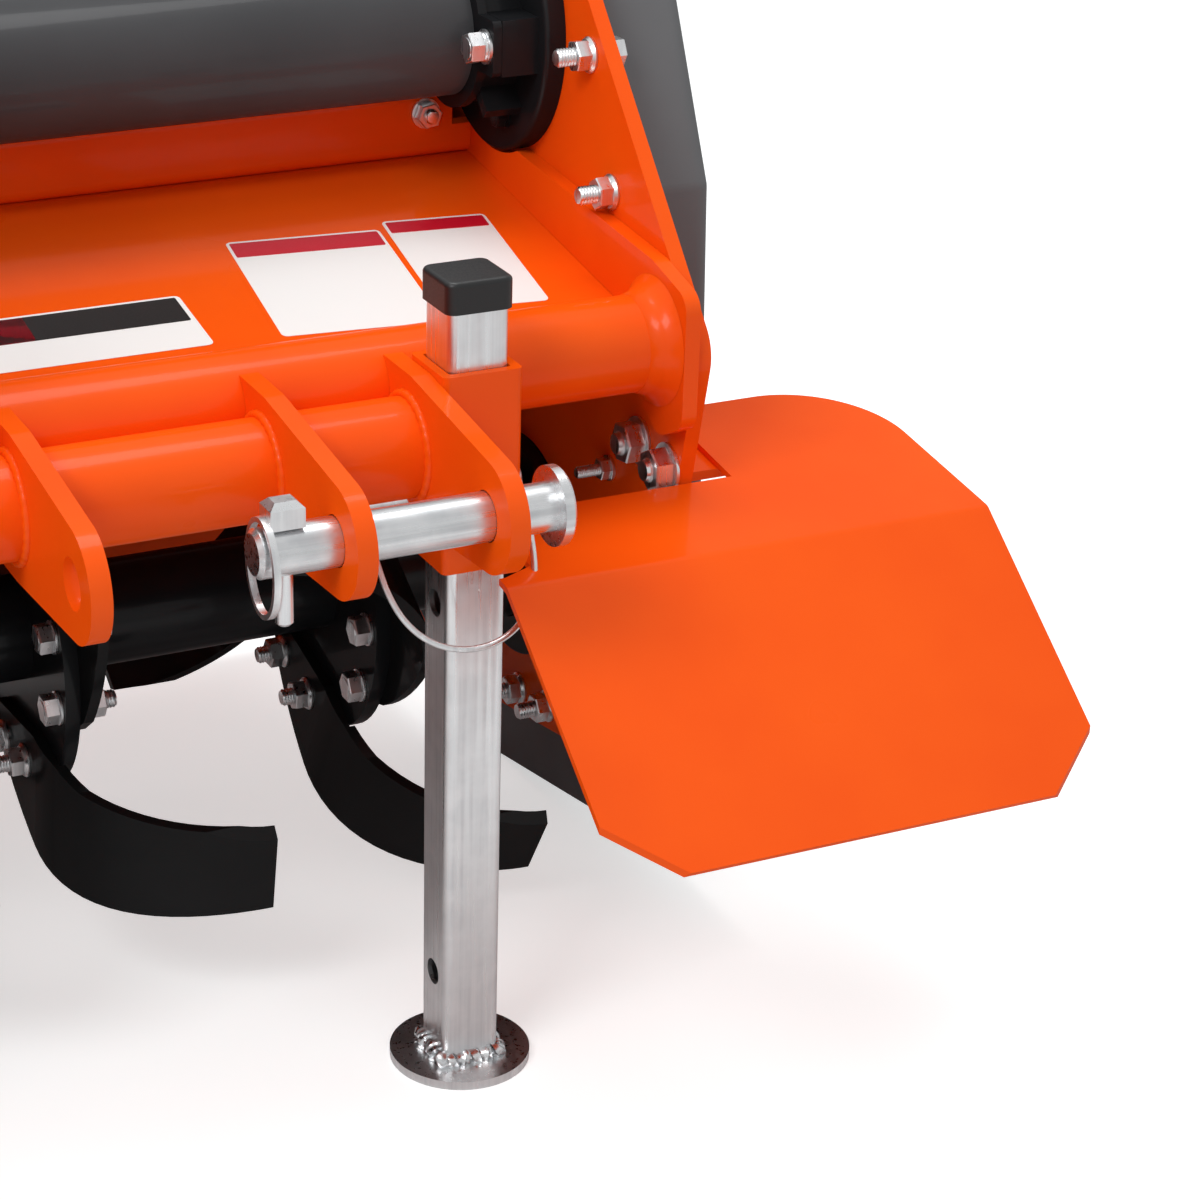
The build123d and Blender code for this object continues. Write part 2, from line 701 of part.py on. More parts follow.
# Wing guard: folded plate with an opening for the side plate's front edge
wing_back_z = wing_bend_z + (wing_back_y - wing_bend_y) * tan(radians(wing_slope))
wing_front_z = wing_bend_z - (wing_bend_y - wing_front_y) * tan(radians(wing_front_slope))
wing_open_y = stand_y + 33.0
wing_open_x = (stand_x + 30.0, stand_x + 198.0)
with BuildPart() as wing_guard_left:
    with BuildSketch(across(wing_inner_x)):
        with BuildLine():
            FilletPolyline(
                (wing_front_y, wing_front_z), (wing_bend_y, wing_bend_z), (wing_back_y, wing_back_z), radius=8
            )
            offset(amount=wing_thickness, side=Side.RIGHT)
        make_face()
    extrude(amount=wing_outer_x - wing_inner_x)
    with BuildSketch(Plane.XY):
        with BuildLine():
            Polyline(
                (wing_inner_x - 1, wing_front_y - 5),
                (wing_inner_x + wing_chamfer_x, wing_front_y - 5),
                (wing_inner_x + wing_chamfer_x, wing_front_y),
                (wing_inner_x, wing_front_y + wing_chamfer_y),
                (wing_inner_x - 1, wing_front_y + wing_chamfer_y),
                close=True,
            )
        make_face()
        with BuildLine():
            Polyline(
                (wing_outer_x + 1, wing_front_y - 5),
                (wing_outer_x - wing_chamfer_x, wing_front_y - 5),
                (wing_outer_x - wing_chamfer_x, wing_front_y),
                (wing_outer_x, wing_front_y + wing_chamfer_y),
                (wing_outer_x + 1, wing_front_y + wing_chamfer_y),
                close=True,
            )
        make_face()
        with Locations((wing_outer_x, wing_back_y)):
            Rectangle(2 * wing_corner_radius, 2 * wing_corner_radius)
        with Locations((wing_outer_x - wing_corner_radius, wing_back_y - wing_corner_radius)):
            Circle(wing_corner_radius, mode=Mode.SUBTRACT)
        with BuildLine():
            Polyline(
                (wing_inner_x - 1, stand_y - 36),
                (wing_inner_x + 4, stand_y - 36),
                (wing_open_x[0], stand_y - 28),
                (wing_open_x[0], wing_open_y),
                (wing_open_x[1], wing_open_y),
                (wing_open_x[1], wing_back_y + 30),
                (wing_inner_x - 1, wing_back_y + 30),
                close=True,
            )
        make_face()
    extrude(amount=2 * sleeve_low, mode=Mode.SUBTRACT)
wing_guard_right = mirrored(wing_guard_left)

# Bracket that carries the wing on the side plate's outer face
bracket_y = (stand_y + 52.0, stand_y + 108.0)
bracket_thickness = 6.0


def wing_underside(y):
    """Height of the wing's underside at y, less the weld gap."""
    slope = radians(wing_slope)
    return wing_bend_z + (y - wing_bend_y) * tan(slope) - wing_thickness / cos(slope) - weld_gap


with BuildPart() as wing_bracket_left:
    with BuildSketch(across(side_plate_outer_x + bolt_gap)):
        with BuildLine():
            Polyline(
                (bracket_y[0], wing_underside(bracket_y[0]) - bracket_thickness),
                (bracket_y[1], wing_underside(bracket_y[1]) - bracket_thickness),
                (bracket_y[1], 392),
                (bracket_y[0], 384),
                close=True,
            )
        make_face()
    extrude(amount=bracket_thickness)
    with BuildSketch(across(side_plate_outer_x + bolt_gap)):
        with BuildLine():
            Polyline(
                (bracket_y[0], wing_underside(bracket_y[0]) - bracket_thickness),
                (bracket_y[1], wing_underside(bracket_y[1]) - bracket_thickness),
                (bracket_y[1], wing_underside(bracket_y[1])),
                (bracket_y[0], wing_underside(bracket_y[0])),
                close=True,
            )
        make_face()
    extrude(amount=wing_outer_x - 70 - side_plate_outer_x)
wing_bracket_right = mirrored(wing_bracket_left)

# Drive case outside the left side plate
case_crease = (stand_y + 148.7, 503.7)
with BuildPart() as drive_case:
    with BuildSketch(across(side_plate_outer_x + bolt_gap)):
        with Locations((rotor_y, rotor_z)):
            Circle(case_low_radius)
        with Locations((shaft_y, shaft_z)):
            Circle(case_high_radius)
        with Locations((case_crease[0] + case_edge, case_crease[1])):
            Circle(case_edge)
        make_hull()
    extrude(amount=case_depth)
    fillet(faces().sort_by(Axis.X)[-1].edges(), radius=case_edge - 2)

# Skid: web under the drive case, inclined sole with a round heel, and two spacers to the side plate
pitch = radians(park_pitch)
sole_start = (heel_y - heel_radius * sin(pitch), heel_radius * (1 - cos(pitch)))
sole_end_y = stand_y + 112.0
sole_end = (sole_end_y, sole_start[1] + (sole_start[0] - sole_end_y) * tan(pitch))
with BuildSketch() as skid_profile:
    with BuildLine():
        ThreePointArc(
            (stand_y + 66, sole_end[1] + 44),
            (sole_end[0] - 30, sole_end[1] + 14),
            sole_end,
        )
        Line(sole_end, sole_start)
        ThreePointArc(
            sole_start, (heel_y, 0), (heel_y + heel_radius * sin(radians(38)), heel_radius * (1 - cos(radians(38))))
        )
        Polyline(
            (heel_y + heel_radius * sin(radians(38)), heel_radius * (1 - cos(radians(38)))),
            (heel_y + heel_radius * sin(radians(38)), spacer_rear[1]),
            (spacer_rear[0] + spacer_radius + 8, spacer_rear[1] + spacer_radius + 8),
            (spacer_rear[0] - spacer_radius - 8, spacer_rear[1] + spacer_radius + 8),
            (rotor_y + 60, 96),
            (rotor_y - 60, 104),
            (spacer_front[0] + spacer_radius + 8, spacer_front[1] + spacer_radius + 8),
            (spacer_front[0] - spacer_radius - 8, spacer_front[1] + spacer_radius + 8),
            (stand_y + 66, sole_end[1] + 44),
        )
    make_face()
    with Locations((rotor_y, rotor_z)):
        Circle(case_low_radius + skid_case_gap, mode=Mode.SUBTRACT)
skid_x = side_plate_outer_x + skid_offset
with BuildPart() as skid_left:
    with BuildSketch(across(skid_x)):
        add(skid_profile.sketch)
    extrude(amount=skid_thickness)
    with BuildSketch(across(skid_x)):
        add(skid_profile.sketch)
        with Locations((0, skid_sole_thickness)):
            add(skid_profile.sketch, mode=Mode.SUBTRACT)
    extrude(amount=skid_sole_width)
    for place in (spacer_front, spacer_rear):
        with BuildSketch(across(side_plate_outer_x + bolt_gap)):
            with Locations(place):
                Circle(spacer_radius)
        extrude(amount=skid_offset)
skid_right = mirrored(skid_left)

# Rear flap on its hinge rod: one sheet that curves back under the hinge, hangs down and ends in a lip
flap_tilt = radians(flap_lean)
flap_bottom_y = hinge_y + (hinge_z - flap_bottom_z) * tan(flap_tilt)
flap_half_width = frame_plate_inner_x - 6
with BuildPart() as flap:
    with BuildSketch(across(-flap_half_width)):
        with BuildLine():
            FilletPolyline(
                (hinge_y, hinge_z),
                (hinge_y + flap_knee_y, hinge_z - flap_knee_drop),
                (flap_bottom_y, flap_bottom_z),
                radius=flap_knee_radius,
            )
            offset(amount=flap_thickness, side=Side.LEFT)
        make_face()
        with BuildLine():
            Polyline(
                (flap_bottom_y, flap_bottom_z),
                (flap_bottom_y + flap_lip, flap_bottom_z - flap_lip_drop),
                (flap_bottom_y + flap_lip, flap_bottom_z - flap_lip_drop + flap_thickness),
                (flap_bottom_y, flap_bottom_z + flap_thickness),
                close=True,
            )
        make_face()
        with Locations((hinge_y, hinge_z)):
            Circle(hinge_eye_radius)
            Circle(hinge_pin_radius + running_gap, mode=Mode.SUBTRACT)
    extrude(amount=2 * flap_half_width)

with BuildPart() as hinge_rod:
    with BuildSketch(across(-frame_plate_inner_x + weld_gap)):
        with Locations((hinge_y, hinge_z)):
            Circle(hinge_pin_radius)
    extrude(amount=2 * (frame_plate_inner_x - weld_gap))

pieces = {
    "main_cross_tube": main_cross_tube,
    "hitch_tube_left": hitch_tube_left,
    "hitch_tube_right": hitch_tube_right,
    "hitch_lugs_left": hitch_lugs_left,
    "hitch_lugs_right": hitch_lugs_right,
    "hitch_pin_left": hitch_pin_left,
    "hitch_pin_right": hitch_pin_right,
    "linch_pin_left": linch_pin_left,
    "linch_pin_right": linch_pin_right,
    "stand_sleeve_left": stand_sleeve_left,
    "stand_sleeve_right": stand_sleeve_right,
    "stand_leg_left": stand_leg_left,
    "stand_leg_right": stand_leg_right,
    "stand_cap_left": stand_cap_left,
    "stand_cap_right": stand_cap_right,
    "side_plate_left": side_plate_left,
    "side_plate_right": side_plate_right,
    "frame_plate_left": frame_plate_left,
    "frame_plate_right": frame_plate_right,
    "deck": deck,
    "shaft_beam": shaft_beam,
    "rotor_tube": rotor_tube,
    "rotor_stub_left": rotor_stub_left,
    "rotor_stub_right": rotor_stub_right,
    "tines_left": tines_left,
    "tines_right": tines_right,
    "rotor_hub_left": rotor_hub_left,
    "rotor_hub_right": rotor_hub_right,
    "cross_shaft_tube": cross_shaft_tube,
    "support_tube": support_tube,
    "tube_flanges": tube_flanges,
    "shaft_housing_left": shaft_housing_left,
    "shaft_housing_right": shaft_housing_right,
    "gearbox": gearbox,
    "input_shaft": input_shaft,
    "shaft_guard": shaft_guard,
    "mast_left": mast_left,
    "mast_right": mast_right,
    "brace_left": brace_left,
    "brace_right": brace_right,
    "brace_lugs": brace_lugs,
    "wing_guard_left": wing_guard_left,
    "wing_guard_right": wing_guard_right,
    "wing_bracket_left": wing_bracket_left,
    "wing_bracket_right": wing_bracket_right,
    "drive_case": drive_case,
    "skid_left": skid_left,
    "skid_right": skid_right,
    "flap": flap,
    "hinge_rod": hinge_rod,
}
for label, builder in pieces.items():
    builder.part.label = label
    export_step(builder.part, f"parts/{label}.step")
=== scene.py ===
"""Looks of a parked rotary tiller: finishes, fasteners, welds, wire bails, blank decals and studio."""

import json
import logging
import math
from dataclasses import dataclass, field
from enum import Enum
from functools import cache

import bpy
from mathutils import Matrix, Vector
from mathutils.bvhtree import BVHTree


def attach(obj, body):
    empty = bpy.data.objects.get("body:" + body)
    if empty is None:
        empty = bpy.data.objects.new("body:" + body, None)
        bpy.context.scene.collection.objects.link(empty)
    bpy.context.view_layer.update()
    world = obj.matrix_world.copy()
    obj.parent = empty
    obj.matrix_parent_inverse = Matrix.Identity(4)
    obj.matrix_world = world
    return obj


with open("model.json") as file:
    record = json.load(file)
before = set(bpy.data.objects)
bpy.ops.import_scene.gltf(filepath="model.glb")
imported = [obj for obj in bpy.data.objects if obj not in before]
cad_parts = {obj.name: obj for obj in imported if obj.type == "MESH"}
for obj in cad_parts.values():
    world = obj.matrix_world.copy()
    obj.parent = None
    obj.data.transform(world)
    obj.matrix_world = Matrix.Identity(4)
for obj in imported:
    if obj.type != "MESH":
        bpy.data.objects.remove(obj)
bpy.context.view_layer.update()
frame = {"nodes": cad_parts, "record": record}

LOG = logging.getLogger("rotary_tiller")
MM = 0.001

Colour = tuple[float, float, float]
Point = tuple[float, float, float]
Pair = tuple[float, float]
Places = tuple[Pair, ...]
Socket = bpy.types.NodeSocket
ShaderNode = bpy.types.Node


class Slot(Enum):
    """The record's material slots."""

    ORANGE = "orange_paint"
    GEAR_GREY = "gear_grey"
    SHAFT_GREY = "shaft_grey"
    BLACK = "black_paint"
    TINE = "tine_steel"
    ZINC = "zinc"
    PLASTIC = "black_plastic"
    BRIGHT = "bright_steel"


class Side(Enum):
    """The machine's left is +X and its right is -X."""

    LEFT = 1
    RIGHT = -1


def linear(code: str) -> Colour:
    """Scene-linear colour of a hexadecimal sRGB code."""
    values = [int(code[i : i + 2], 16) / 255 for i in (0, 2, 4)]
    return tuple(v / 12.92 if v <= 0.04045 else ((v + 0.055) / 1.055) ** 2.4 for v in values)


@dataclass(frozen=True)
class Layout:
    """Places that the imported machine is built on, in millimetres."""

    stand_x: float = 489.0
    stand_y: float = -212.0
    side_plate_x: float = 649.9
    rotor_y: float = 40.0
    rotor_z: float = 233.0
    shaft_y: float = 78.0
    shaft_z: float = 590.0

    def leg(self, x: float, y: float, z: float, side: Side = Side.LEFT) -> Vector:
        """Row-frame point, in metres, from millimetres off the parking leg's axis and the floor.

        Args:
            x: Offset outward from the leg's axis.
            y: Offset rearward from the leg's axis.
            z: Height above the floor.
            side: Which leg the offsets start at.

        Returns:
            The point in the row frame.
        """
        return Vector((side.value * (self.stand_x + x), self.stand_y + y, z)) * MM


LAYOUT = Layout()


# Shader graph


class Graph:
    """A thin wrapper that adds and links shader nodes in one tree."""

    def __init__(self, tree: bpy.types.NodeTree) -> None:
        """Wraps a node tree.

        Args:
            tree: The tree that the nodes go into.
        """
        self.tree = tree

    def node(self, kind: str, **values: object) -> ShaderNode:
        """Adds a node and sets its attributes.

        Args:
            kind: Blender's type name of the node.
            **values: Attributes of the node.

        Returns:
            The new node.
        """
        made = self.tree.nodes.new(kind)
        for key, value in values.items():
            setattr(made, key, value)
        return made

    def link(self, source: Socket, target: Socket) -> None:
        """Links two sockets.

        Args:
            source: The output.
            target: The input.
        """
        self.tree.links.new(source, target)

    def noise(self, vector: Socket, scale: float, detail: float) -> Socket:
        """Adds a noise texture.

        Args:
            vector: The coordinates it reads.
            scale: Its scale, in cells a metre.
            detail: Its octaves.

        Returns:
            Its factor.
        """
        made = self.node("ShaderNodeTexNoise")
        made.inputs["Scale"].default_value = scale
        made.inputs["Detail"].default_value = detail
        self.link(vector, made.inputs["Vector"])
        return made.outputs["Fac"]

    def remap(self, value: Socket, low: float, high: float, to_low: float, to_high: float) -> Socket:
        """Maps a value from one range to another, clamped.

        Args:
            value: The value.
            low: Start of the input range.
            high: End of the input range.
            to_low: Result at low.
            to_high: Result at high.

        Returns:
            The mapped value.
        """
        made = self.node("ShaderNodeMapRange")
        ends = {"From Min": low, "From Max": high, "To Min": to_low, "To Max": to_high}
        for socket, number in ends.items():
            made.inputs[socket].default_value = number
        self.link(value, made.inputs["Value"])
        return made.outputs["Result"]

    def math(self, operation: str, first: object, second: object) -> Socket:
        """Adds a math node.

        Args:
            operation: Blender's name of the operation.
            first: A socket or a number.
            second: A socket or a number.

        Returns:
            The result.
        """
        made = self.node("ShaderNodeMath", operation=operation)
        for slot, value in zip(made.inputs, (first, second)):
            if isinstance(value, Socket):
                self.link(value, slot)
            else:
                slot.default_value = value
        return made.outputs[0]

    def mix(self, factor: Socket, first: object, second: object) -> Socket:
        """Mixes two colours.

        Args:
            factor: 0 shows the first colour and 1 the second.
            first: A socket or a colour.
            second: A socket or a colour.

        Returns:
            The mixed colour.
        """
        made = self.node("ShaderNodeMix", data_type="RGBA")
        self.link(factor, made.inputs["Factor"])
        for name, value in (("A", first), ("B", second)):
            slot = next(s for s in made.inputs if s.name == name and s.type == "RGBA")
            if isinstance(value, Socket):
                self.link(value, slot)
            else:
                slot.default_value = (*value, 1.0)
        return next(s for s in made.outputs if s.type == "RGBA")


class EffectGroups:
    """Builds each shared shader effect once, as a node group."""

    @staticmethod
    def _shell(
        name: str, inputs: dict[str, tuple[str, float]], outputs: dict[str, str]
    ) -> tuple[Graph, ShaderNode, ShaderNode]:
        """Makes an empty group with its sockets.

        Args:
            name: The group's name.
            inputs: Socket name to its type and default.
            outputs: Socket name to its type.

        Returns:
            The group's graph, its input node and its output node.
        """
        group = bpy.data.node_groups.new(name, "ShaderNodeTree")
        for socket, (kind, default) in inputs.items():
            made = group.interface.new_socket(name=socket, in_out="INPUT", socket_type=kind)
            if kind == "NodeSocketFloat":
                made.default_value = default
        for socket, kind in outputs.items():
            group.interface.new_socket(name=socket, in_out="OUTPUT", socket_type=kind)
        graph = Graph(group)
        return graph, graph.node("NodeGroupInput"), graph.node("NodeGroupOutput")

    @staticmethod
    @cache
    def paint_skin() -> bpy.types.NodeTree:
        """The orange-peel height and the faint gloss and tone variation of a sprayed coat.

        Returns:
            The group, with Vector, Peel, Base Roughness in and Height, Roughness, Tone out.
        """
        graph, enter, leave = EffectGroups._shell(
            "PaintSkin",
            {
                "Vector": ("NodeSocketVector", 0.0),
                "Peel": ("NodeSocketFloat", 0.3),
                "Base Roughness": ("NodeSocketFloat", 0.3),
            },
            {"Height": "NodeSocketFloat", "Roughness": "NodeSocketFloat", "Tone": "NodeSocketFloat"},
        )
        fine = graph.noise(enter.outputs["Vector"], 420.0, 2.0)
        wide = graph.noise(enter.outputs["Vector"], 9.0, 3.0)
        graph.link(graph.math("MULTIPLY", fine, enter.outputs["Peel"]), leave.inputs["Height"])
        spread = graph.remap(wide, 0.3, 0.7, -0.03, 0.04)
        graph.link(graph.math("ADD", enter.outputs["Base Roughness"], spread), leave.inputs["Roughness"])
        graph.link(graph.remap(wide, 0.35, 0.7, 0.0, 1.0), leave.inputs["Tone"])
        return graph.tree

    @staticmethod
    @cache
    def drawn_metal() -> bpy.types.NodeTree:
        """Long fine streaks with a spangled bloom, as on drawn and zinc-plated steel.

        Returns:
            The group, with Vector, Grain, Base Roughness in and Height, Roughness, Streak, Bloom out.
        """
        graph, enter, leave = EffectGroups._shell(
            "DrawnMetal",
            {
                "Vector": ("NodeSocketVector", 0.0),
                "Grain": ("NodeSocketVector", 0.0),
                "Base Roughness": ("NodeSocketFloat", 0.3),
            },
            {
                "Height": "NodeSocketFloat",
                "Roughness": "NodeSocketFloat",
                "Streak": "NodeSocketFloat",
                "Bloom": "NodeSocketFloat",
            },
        )
        stretch = graph.node("ShaderNodeMapping")
        graph.link(enter.outputs["Grain"], stretch.inputs["Scale"])
        graph.link(enter.outputs["Vector"], stretch.inputs["Vector"])
        streak = graph.noise(stretch.outputs["Vector"], 1.0, 3.0)
        bloom = graph.noise(enter.outputs["Vector"], 55.0, 4.0)
        graph.link(graph.math("MULTIPLY", streak, 0.5), leave.inputs["Height"])
        spread = graph.remap(streak, 0.3, 0.7, -0.06, 0.1)
        graph.link(graph.math("ADD", enter.outputs["Base Roughness"], spread), leave.inputs["Roughness"])
        graph.link(graph.remap(streak, 0.3, 0.7, 0.0, 1.0), leave.inputs["Streak"])
        graph.link(graph.remap(bloom, 0.4, 0.66, 0.0, 0.5), leave.inputs["Bloom"])
        return graph.tree


def start_material(name: str) -> tuple[bpy.types.Material, Graph, ShaderNode]:
    """Starts a node material.

    Args:
        name: The material's name.

    Returns:
        The material, its graph and its Principled BSDF.
    """
    material = bpy.data.materials.new(name)
    material.use_nodes = True
    graph = Graph(material.node_tree)
    shader = material.node_tree.nodes["Principled BSDF"]
    return material, graph, shader


@dataclass(frozen=True)
class Paint:
    """A sprayed coat of paint."""

    name: str
    colour: Colour
    shade: Colour
    roughness: float = 0.3
    peel: float = 0.25
    gloss: float = 0.12
    coat: float = 0.14
    coat_roughness: float = 0.08
    bump: float = 0.25
    bump_depth: float = 0.0004

    @cache
    def material(self) -> bpy.types.Material:
        """Builds the coat's material, once for all its pieces.

        Returns:
            The material.
        """
        material, graph, shader = start_material(f"look_{self.name}")
        coordinates = graph.node("ShaderNodeTexCoord").outputs["Object"]
        skin = graph.node("ShaderNodeGroup", node_tree=EffectGroups.paint_skin())
        graph.link(coordinates, skin.inputs["Vector"])
        skin.inputs["Peel"].default_value = self.peel
        skin.inputs["Base Roughness"].default_value = self.roughness
        bump = graph.node("ShaderNodeBump")
        bump.inputs["Strength"].default_value = self.bump
        bump.inputs["Distance"].default_value = self.bump_depth
        graph.link(skin.outputs["Height"], bump.inputs["Height"])
        graph.link(bump.outputs["Normal"], shader.inputs["Normal"])
        graph.link(skin.outputs["Roughness"], shader.inputs["Roughness"])
        graph.link(graph.mix(skin.outputs["Tone"], self.colour, self.shade), shader.inputs["Base Color"])
        facing = graph.node("ShaderNodeLayerWeight").outputs["Facing"]
        graph.link(graph.remap(facing, 0.1, 0.6, self.gloss, 0.01), shader.inputs["Specular IOR Level"])
        shader.inputs["Coat Weight"].default_value = self.coat
        shader.inputs["Coat Roughness"].default_value = self.coat_roughness
        return material


@dataclass(frozen=True)
class Metal:
    """Bare or plated steel with drawing streaks."""

    name: str
    colour: Colour
    streak: Colour
    bloom: Colour
    roughness: float = 0.3
    grain: Point = (300.0, 300.0, 7.0)
    bump: float = 0.07
    bump_depth: float = 0.0003

    @cache
    def material(self) -> bpy.types.Material:
        """Builds the metal's material, once for all its pieces.

        Returns:
            The material.
        """
        material, graph, shader = start_material(f"look_{self.name}")
        coordinates = graph.node("ShaderNodeTexCoord").outputs["Object"]
        drawn = graph.node("ShaderNodeGroup", node_tree=EffectGroups.drawn_metal())
        graph.link(coordinates, drawn.inputs["Vector"])
        drawn.inputs["Base Roughness"].default_value = self.roughness
        drawn.inputs["Grain"].default_value = self.grain
        bump = graph.node("ShaderNodeBump")
        bump.inputs["Strength"].default_value = self.bump
        bump.inputs["Distance"].default_value = self.bump_depth
        graph.link(drawn.outputs["Height"], bump.inputs["Height"])
        graph.link(bump.outputs["Normal"], shader.inputs["Normal"])
        graph.link(drawn.outputs["Roughness"], shader.inputs["Roughness"])
        streaked = graph.mix(drawn.outputs["Streak"], self.colour, self.streak)
        graph.link(graph.mix(drawn.outputs["Bloom"], streaked, self.bloom), shader.inputs["Base Color"])
        shader.inputs["Metallic"].default_value = 1.0
        return material


@dataclass(frozen=True)
class Plain:
    """A plain even finish, such as moulded plastic or printed film."""

    name: str
    colour: Colour
    roughness: float = 0.45
    spread: float = 0.05
    grain: float = 900.0

    @cache
    def material(self) -> bpy.types.Material:
        """Builds the finish's material, once for all its pieces.

        Returns:
            The material.
        """
        material, graph, shader = start_material(f"look_{self.name}")
        coordinates = graph.node("ShaderNodeTexCoord").outputs["Object"]
        grain = graph.noise(coordinates, self.grain, 2.0)
        low, high = self.roughness - self.spread, self.roughness + self.spread
        graph.link(graph.remap(grain, 0.3, 0.7, low, high), shader.inputs["Roughness"])
        shader.inputs["Base Color"].default_value = (*self.colour, 1.0)
        return material


ORANGE = Paint("orange_paint", linear("F75A0D"), linear("F2530A"))
GEAR_GREY = Paint("gear_grey", linear("6A6B6D"), linear("636466"), roughness=0.34)
SHAFT_GREY = Paint("shaft_grey", linear("47484A"), linear("404143"), roughness=0.36)
BLACK = Paint("black_paint", linear("17181A"), linear("1C1D1F"), roughness=0.32)
TINE = Paint("tine_steel", linear("131415"), linear("1A1B1C"), roughness=0.38, peel=0.4)
ALONG_X = (7.0, 300.0, 300.0)
ALL_WAYS = (90.0, 90.0, 90.0)
ZINC = Metal("zinc", linear("E8EAEB"), linear("D4D6D8"), linear("EFF0F1"))
PIN_ZINC = Metal("zinc_pin", linear("E2E4E5"), linear("C4C7CA"), linear("EAEBEC"), 0.28, ALONG_X)
BRIGHT = Metal("bright_steel", linear("C6C8CA"), linear("B2B4B7"), linear("D6D7D8"), roughness=0.25)
PLASTIC = Plain("black_plastic", linear("151617"), roughness=0.42)
WELD = Metal("bare_weld", linear("E0E1E3"), linear("B4B7BA"), linear("F6F6F6"), 0.24, ALL_WAYS)
FILM_WHITE = Plain("film_white", linear("F4F4F2"), roughness=0.35)
FILM_RED = Plain("film_red", linear("C8102A"), roughness=0.35)
FILM_BLACK = Plain("film_black", linear("121212"), roughness=0.35)

SLOT_FINISH = {
    Slot.ORANGE: ORANGE,
    Slot.GEAR_GREY: GEAR_GREY,
    Slot.SHAFT_GREY: SHAFT_GREY,
    Slot.BLACK: BLACK,
    Slot.TINE: TINE,
    Slot.ZINC: ZINC,
    Slot.PLASTIC: PLASTIC,
    Slot.BRIGHT: BRIGHT,
}
NODE_FINISH = {f"hitch_pin_{side}": PIN_ZINC for side in ("left", "right")} | {"hinge_rod": PIN_ZINC}
Finish = Paint | Metal | Plain


# Mesh kit


@dataclass
class Kit:
    """Collects the geometry of one added piece and turns it into an object."""

    name: str
    body: str
    finish: Finish
    slot: Slot
    vertices: list[Vector] = field(default_factory=list)
    faces: list[tuple[int, ...]] = field(default_factory=list)

    def add(self, vertices: list[Vector], faces: list[tuple[int, ...]], matrix: Matrix) -> None:
        """Adds geometry.

        Args:
            vertices: Its points, in metres.
            faces: Its faces, as indices of these points.
            matrix: Where it goes.
        """
        start = len(self.vertices)
        self.vertices.extend(matrix @ v for v in vertices)
        self.faces.extend(tuple(start + i for i in face) for face in faces)

    def lathe(self, profile: list[tuple[float, float]], segments: int, matrix: Matrix) -> None:
        """Adds a turned solid.

        Args:
            profile: (radius, height) points in millimetres along its outline; both ends are closed.
            segments: Steps round the axis.
            matrix: Where it goes; its axis is local Z.
        """
        vertices, faces = [], []
        for radius, height in profile:
            for k in range(segments):
                angle = math.tau * k / segments
                vertices.append(Vector((radius * math.cos(angle), radius * math.sin(angle), height)) * MM)
        for row in range(len(profile) - 1):
            for k in range(segments):
                a, b = row * segments + k, row * segments + (k + 1) % segments
                faces.append((a, b, b + segments, a + segments))
        faces.append(tuple(reversed(range(segments))))
        faces.append(tuple((len(profile) - 1) * segments + k for k in range(segments)))
        self.add(vertices, faces, matrix)

    def ring(self, profile: list[tuple[float, float]], segments: int, matrix: Matrix) -> None:
        """Adds a turned ring whose section is a closed outline.

        Args:
            profile: (radius, height) points in millimetres round the section.
            segments: Steps round the axis.
            matrix: Where it goes; its axis is local Z.
        """
        vertices, faces = [], []
        count = len(profile)
        for k in range(segments):
            angle = math.tau * k / segments
            for radius, height in profile:
                vertices.append(Vector((radius * math.cos(angle), radius * math.sin(angle), height)) * MM)
        for k in range(segments):
            for row in range(count):
                a, b = k * count + row, k * count + (row + 1) % count
                c, d = ((k + 1) % segments) * count + (row + 1) % count, ((k + 1) % segments) * count + row
                faces.append((a, d, c, b))
        self.add(vertices, faces, matrix)

    def sweep(self, path: list[Vector], radii: list[float], sides: int, closed: bool = False) -> None:
        """Adds a round bar along a path.

        Args:
            path: Points in metres.
            radii: The bar's radius at each point, in millimetres.
            sides: Sides of its section.
            closed: Whether the path's ends join.
        """
        vertices, faces = [], []
        count = len(path)
        side = None
        for i, point in enumerate(path):
            before = path[i - 1] if i or closed else path[0]
            after = path[(i + 1) % count] if i < count - 1 or closed else path[-1]
            along = (after - before).normalized()
            if side is None:
                side = along.orthogonal().normalized()
            side = (side - along * side.dot(along)).normalized()
            other = along.cross(side)
            for k in range(sides):
                angle = math.tau * k / sides
                vertices.append(point + (side * math.cos(angle) + other * math.sin(angle)) * radii[i] * MM)
        for i in range(count if closed else count - 1):
            for k in range(sides):
                a, b = i * sides + k, i * sides + (k + 1) % sides
                c, d = ((i + 1) % count) * sides + (k + 1) % sides, ((i + 1) % count) * sides + k
                faces.append((a, b, c, d))
        if not closed:
            faces.append(tuple(reversed(range(sides))))
            faces.append(tuple((count - 1) * sides + k for k in range(sides)))
        self.add(vertices, faces, Matrix.Identity(4))

    def finish_object(self, sharp: float = 32.0) -> bpy.types.Object:
        """Makes the object, dresses it and lets it ride on its body.

        Args:
            sharp: Edges folded more than this many degrees stay sharp.

        Returns:
            The object.
        """
        mesh = bpy.data.meshes.new(self.name)
        mesh.from_pydata(self.vertices, [], self.faces)
        mesh.validate()
        mesh.shade_smooth()
        mesh.set_sharp_from_angle(angle=math.radians(sharp))
        mesh.materials.append(self.finish.material())
        made = bpy.data.objects.new(self.name, mesh)
        bpy.context.scene.collection.objects.link(made)
        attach(made, self.body)
        return made


